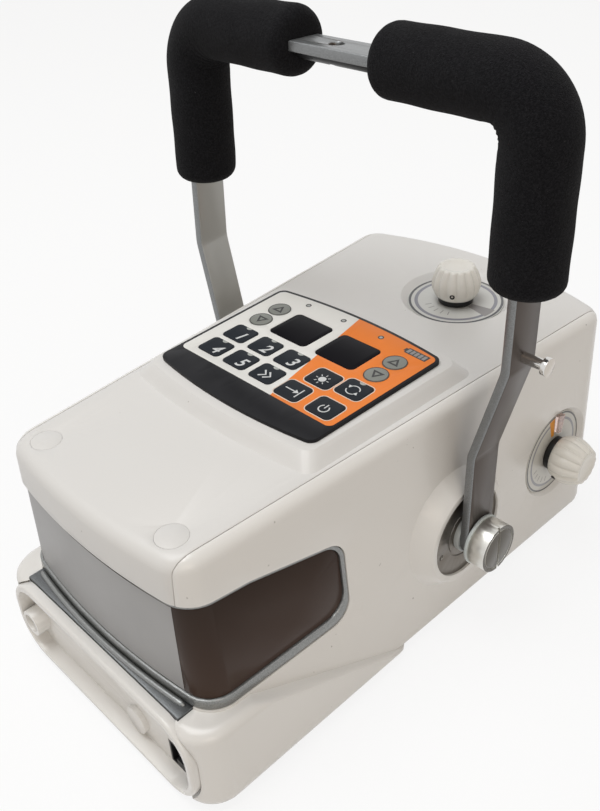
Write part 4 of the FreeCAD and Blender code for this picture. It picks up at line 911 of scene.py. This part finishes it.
def smooth_node(node, width):
    node.data.shade_smooth()
    weld = node.modifiers.new("weld", "WELD")
    weld.merge_threshold = WELD_DISTANCE
    bevel = node.modifiers.new("bevel", "BEVEL")
    bevel.width = width * MM
    bevel.segments = 2
    bevel.limit_method = "ANGLE"
    bevel.angle_limit = BEVEL_ANGLE
    bevel.harden_normals = True
    bevel.use_clamp_overlap = True


for name, node in NODES.items():
    smooth_node(node, BEVELS.get(name, PLAIN_BEVEL))


# Floor, light and camera

FLOOR_HALF = 6.0
FLOOR_GLOW = 0.85
AMBIENT_COLOR = (1.0, 0.93, 0.855)
AMBIENT_STRENGTH = 0.36
LIGHT_TARGET = (0, 0, 0.1)
PICTURE_HEIGHT = 811.0
FOCAL_PIXELS = 938.9
SENSOR_HEIGHT = 36.0
CAMERA_PLACE = (0.36137, -0.34181, 0.48603)
CAMERA_TURNS = ((40.236, "Z"), (57.828, "X"), (6.61, "Y"))
CAMERA_SHIFT = (0.0096, -0.0699)


def stage_material(name):
    """Pale floor that looks white but keeps a soft shadow."""
    tree = Tree(name, (0.86, 0.86, 0.86), 0.9)
    emission = tree.nodes.new("ShaderNodeEmission")
    emission.inputs["Color"].default_value = (1, 1, 1, 1)
    rays = tree.nodes.new("ShaderNodeLightPath")
    seen = tree.math("MAXIMUM", rays.outputs["Is Camera Ray"], rays.outputs["Is Glossy Ray"])
    seen = tree.math("MAXIMUM", seen, rays.outputs["Is Transmission Ray"])
    blend = tree.nodes.new("ShaderNodeMixShader")
    tree.join(tree.math("MULTIPLY", seen, FLOOR_GLOW), blend.inputs[0])
    tree.join(tree.shader.outputs[0], blend.inputs[1])
    tree.join(emission.outputs[0], blend.inputs[2])
    tree.join(blend.outputs[0], tree.nodes["Material Output"].inputs["Surface"])
    return tree.material


def studio_world():
    """White where it is seen, mirrored or looked at through a clear piece; dimmer as a light."""
    world = bpy.data.worlds.new("studio")
    world.use_nodes = True
    nodes, links = world.node_tree.nodes, world.node_tree.links
    soft = nodes["Background"]
    soft.inputs["Color"].default_value = (*AMBIENT_COLOR, 1)
    soft.inputs["Strength"].default_value = AMBIENT_STRENGTH
    bright = nodes.new("ShaderNodeBackground")
    bright.inputs["Color"].default_value = (1, 1, 1, 1)
    bright.inputs["Strength"].default_value = 1.0
    path = nodes.new("ShaderNodeLightPath")
    seen = path.outputs["Is Camera Ray"]
    for ray in ("Is Glossy Ray", "Is Transmission Ray"):
        either = nodes.new("ShaderNodeMath")
        either.operation = "MAXIMUM"
        links.new(seen, either.inputs[0])
        links.new(path.outputs[ray], either.inputs[1])
        seen = either.outputs[0]
    choose = nodes.new("ShaderNodeMixShader")
    links.new(seen, choose.inputs[0])
    links.new(soft.outputs[0], choose.inputs[1])
    links.new(bright.outputs[0], choose.inputs[2])
    links.new(choose.outputs[0], nodes["World Output"].inputs["Surface"])
    return world


def area_light(name, place, size, power, color):
    light = bpy.data.lights.new(name, "AREA")
    light.shape = "SQUARE"
    light.size = size
    light.energy = power
    light.color = color
    obj = bpy.data.objects.new(name, light)
    obj.location = place
    aim = Vector(LIGHT_TARGET) - Vector(place)
    obj.rotation_euler = aim.to_track_quat("-Z", "Y").to_euler()
    bpy.context.scene.collection.objects.link(obj)


def photo_camera():
    """The camera, placed to give the photograph's view."""
    data = bpy.data.cameras.new("camera")
    data.sensor_fit = "VERTICAL"
    data.sensor_height = SENSOR_HEIGHT
    data.lens = FOCAL_PIXELS * SENSOR_HEIGHT / PICTURE_HEIGHT
    data.shift_x, data.shift_y = CAMERA_SHIFT
    data.clip_start = 0.01
    data.clip_end = 50.0
    camera = bpy.data.objects.new("camera", data)
    bpy.context.scene.collection.objects.link(camera)
    matrix = Matrix.Translation(CAMERA_PLACE)
    for degrees, axis in CAMERA_TURNS:
        matrix = matrix @ Matrix.Rotation(math.radians(degrees), 4, axis)
    camera.matrix_world = matrix
    return camera


floor_mesh = bpy.data.meshes.new("floor")
corners = [(x * FLOOR_HALF, y * FLOOR_HALF, 0) for x, y in ((-1, -1), (1, -1), (1, 1), (-1, 1))]
floor_mesh.from_pydata(corners, [], [(0, 1, 2, 3)])
floor = bpy.data.objects.new("floor", floor_mesh)
bpy.context.scene.collection.objects.link(floor)
floor_mesh.materials.append(stage_material("floor_white"))

area_light("key_light", (-0.3, -0.4, 2.1), 1.3, 28.0, (0.97, 0.99, 1.0))
area_light("fill_light", (1.5, -0.9, 1.0), 0.9, 5.0, (1.0, 0.87, 0.72))
bpy.context.scene.world = studio_world()
bpy.context.scene.camera = photo_camera()
bpy.context.scene.view_settings.view_transform = "Standard"
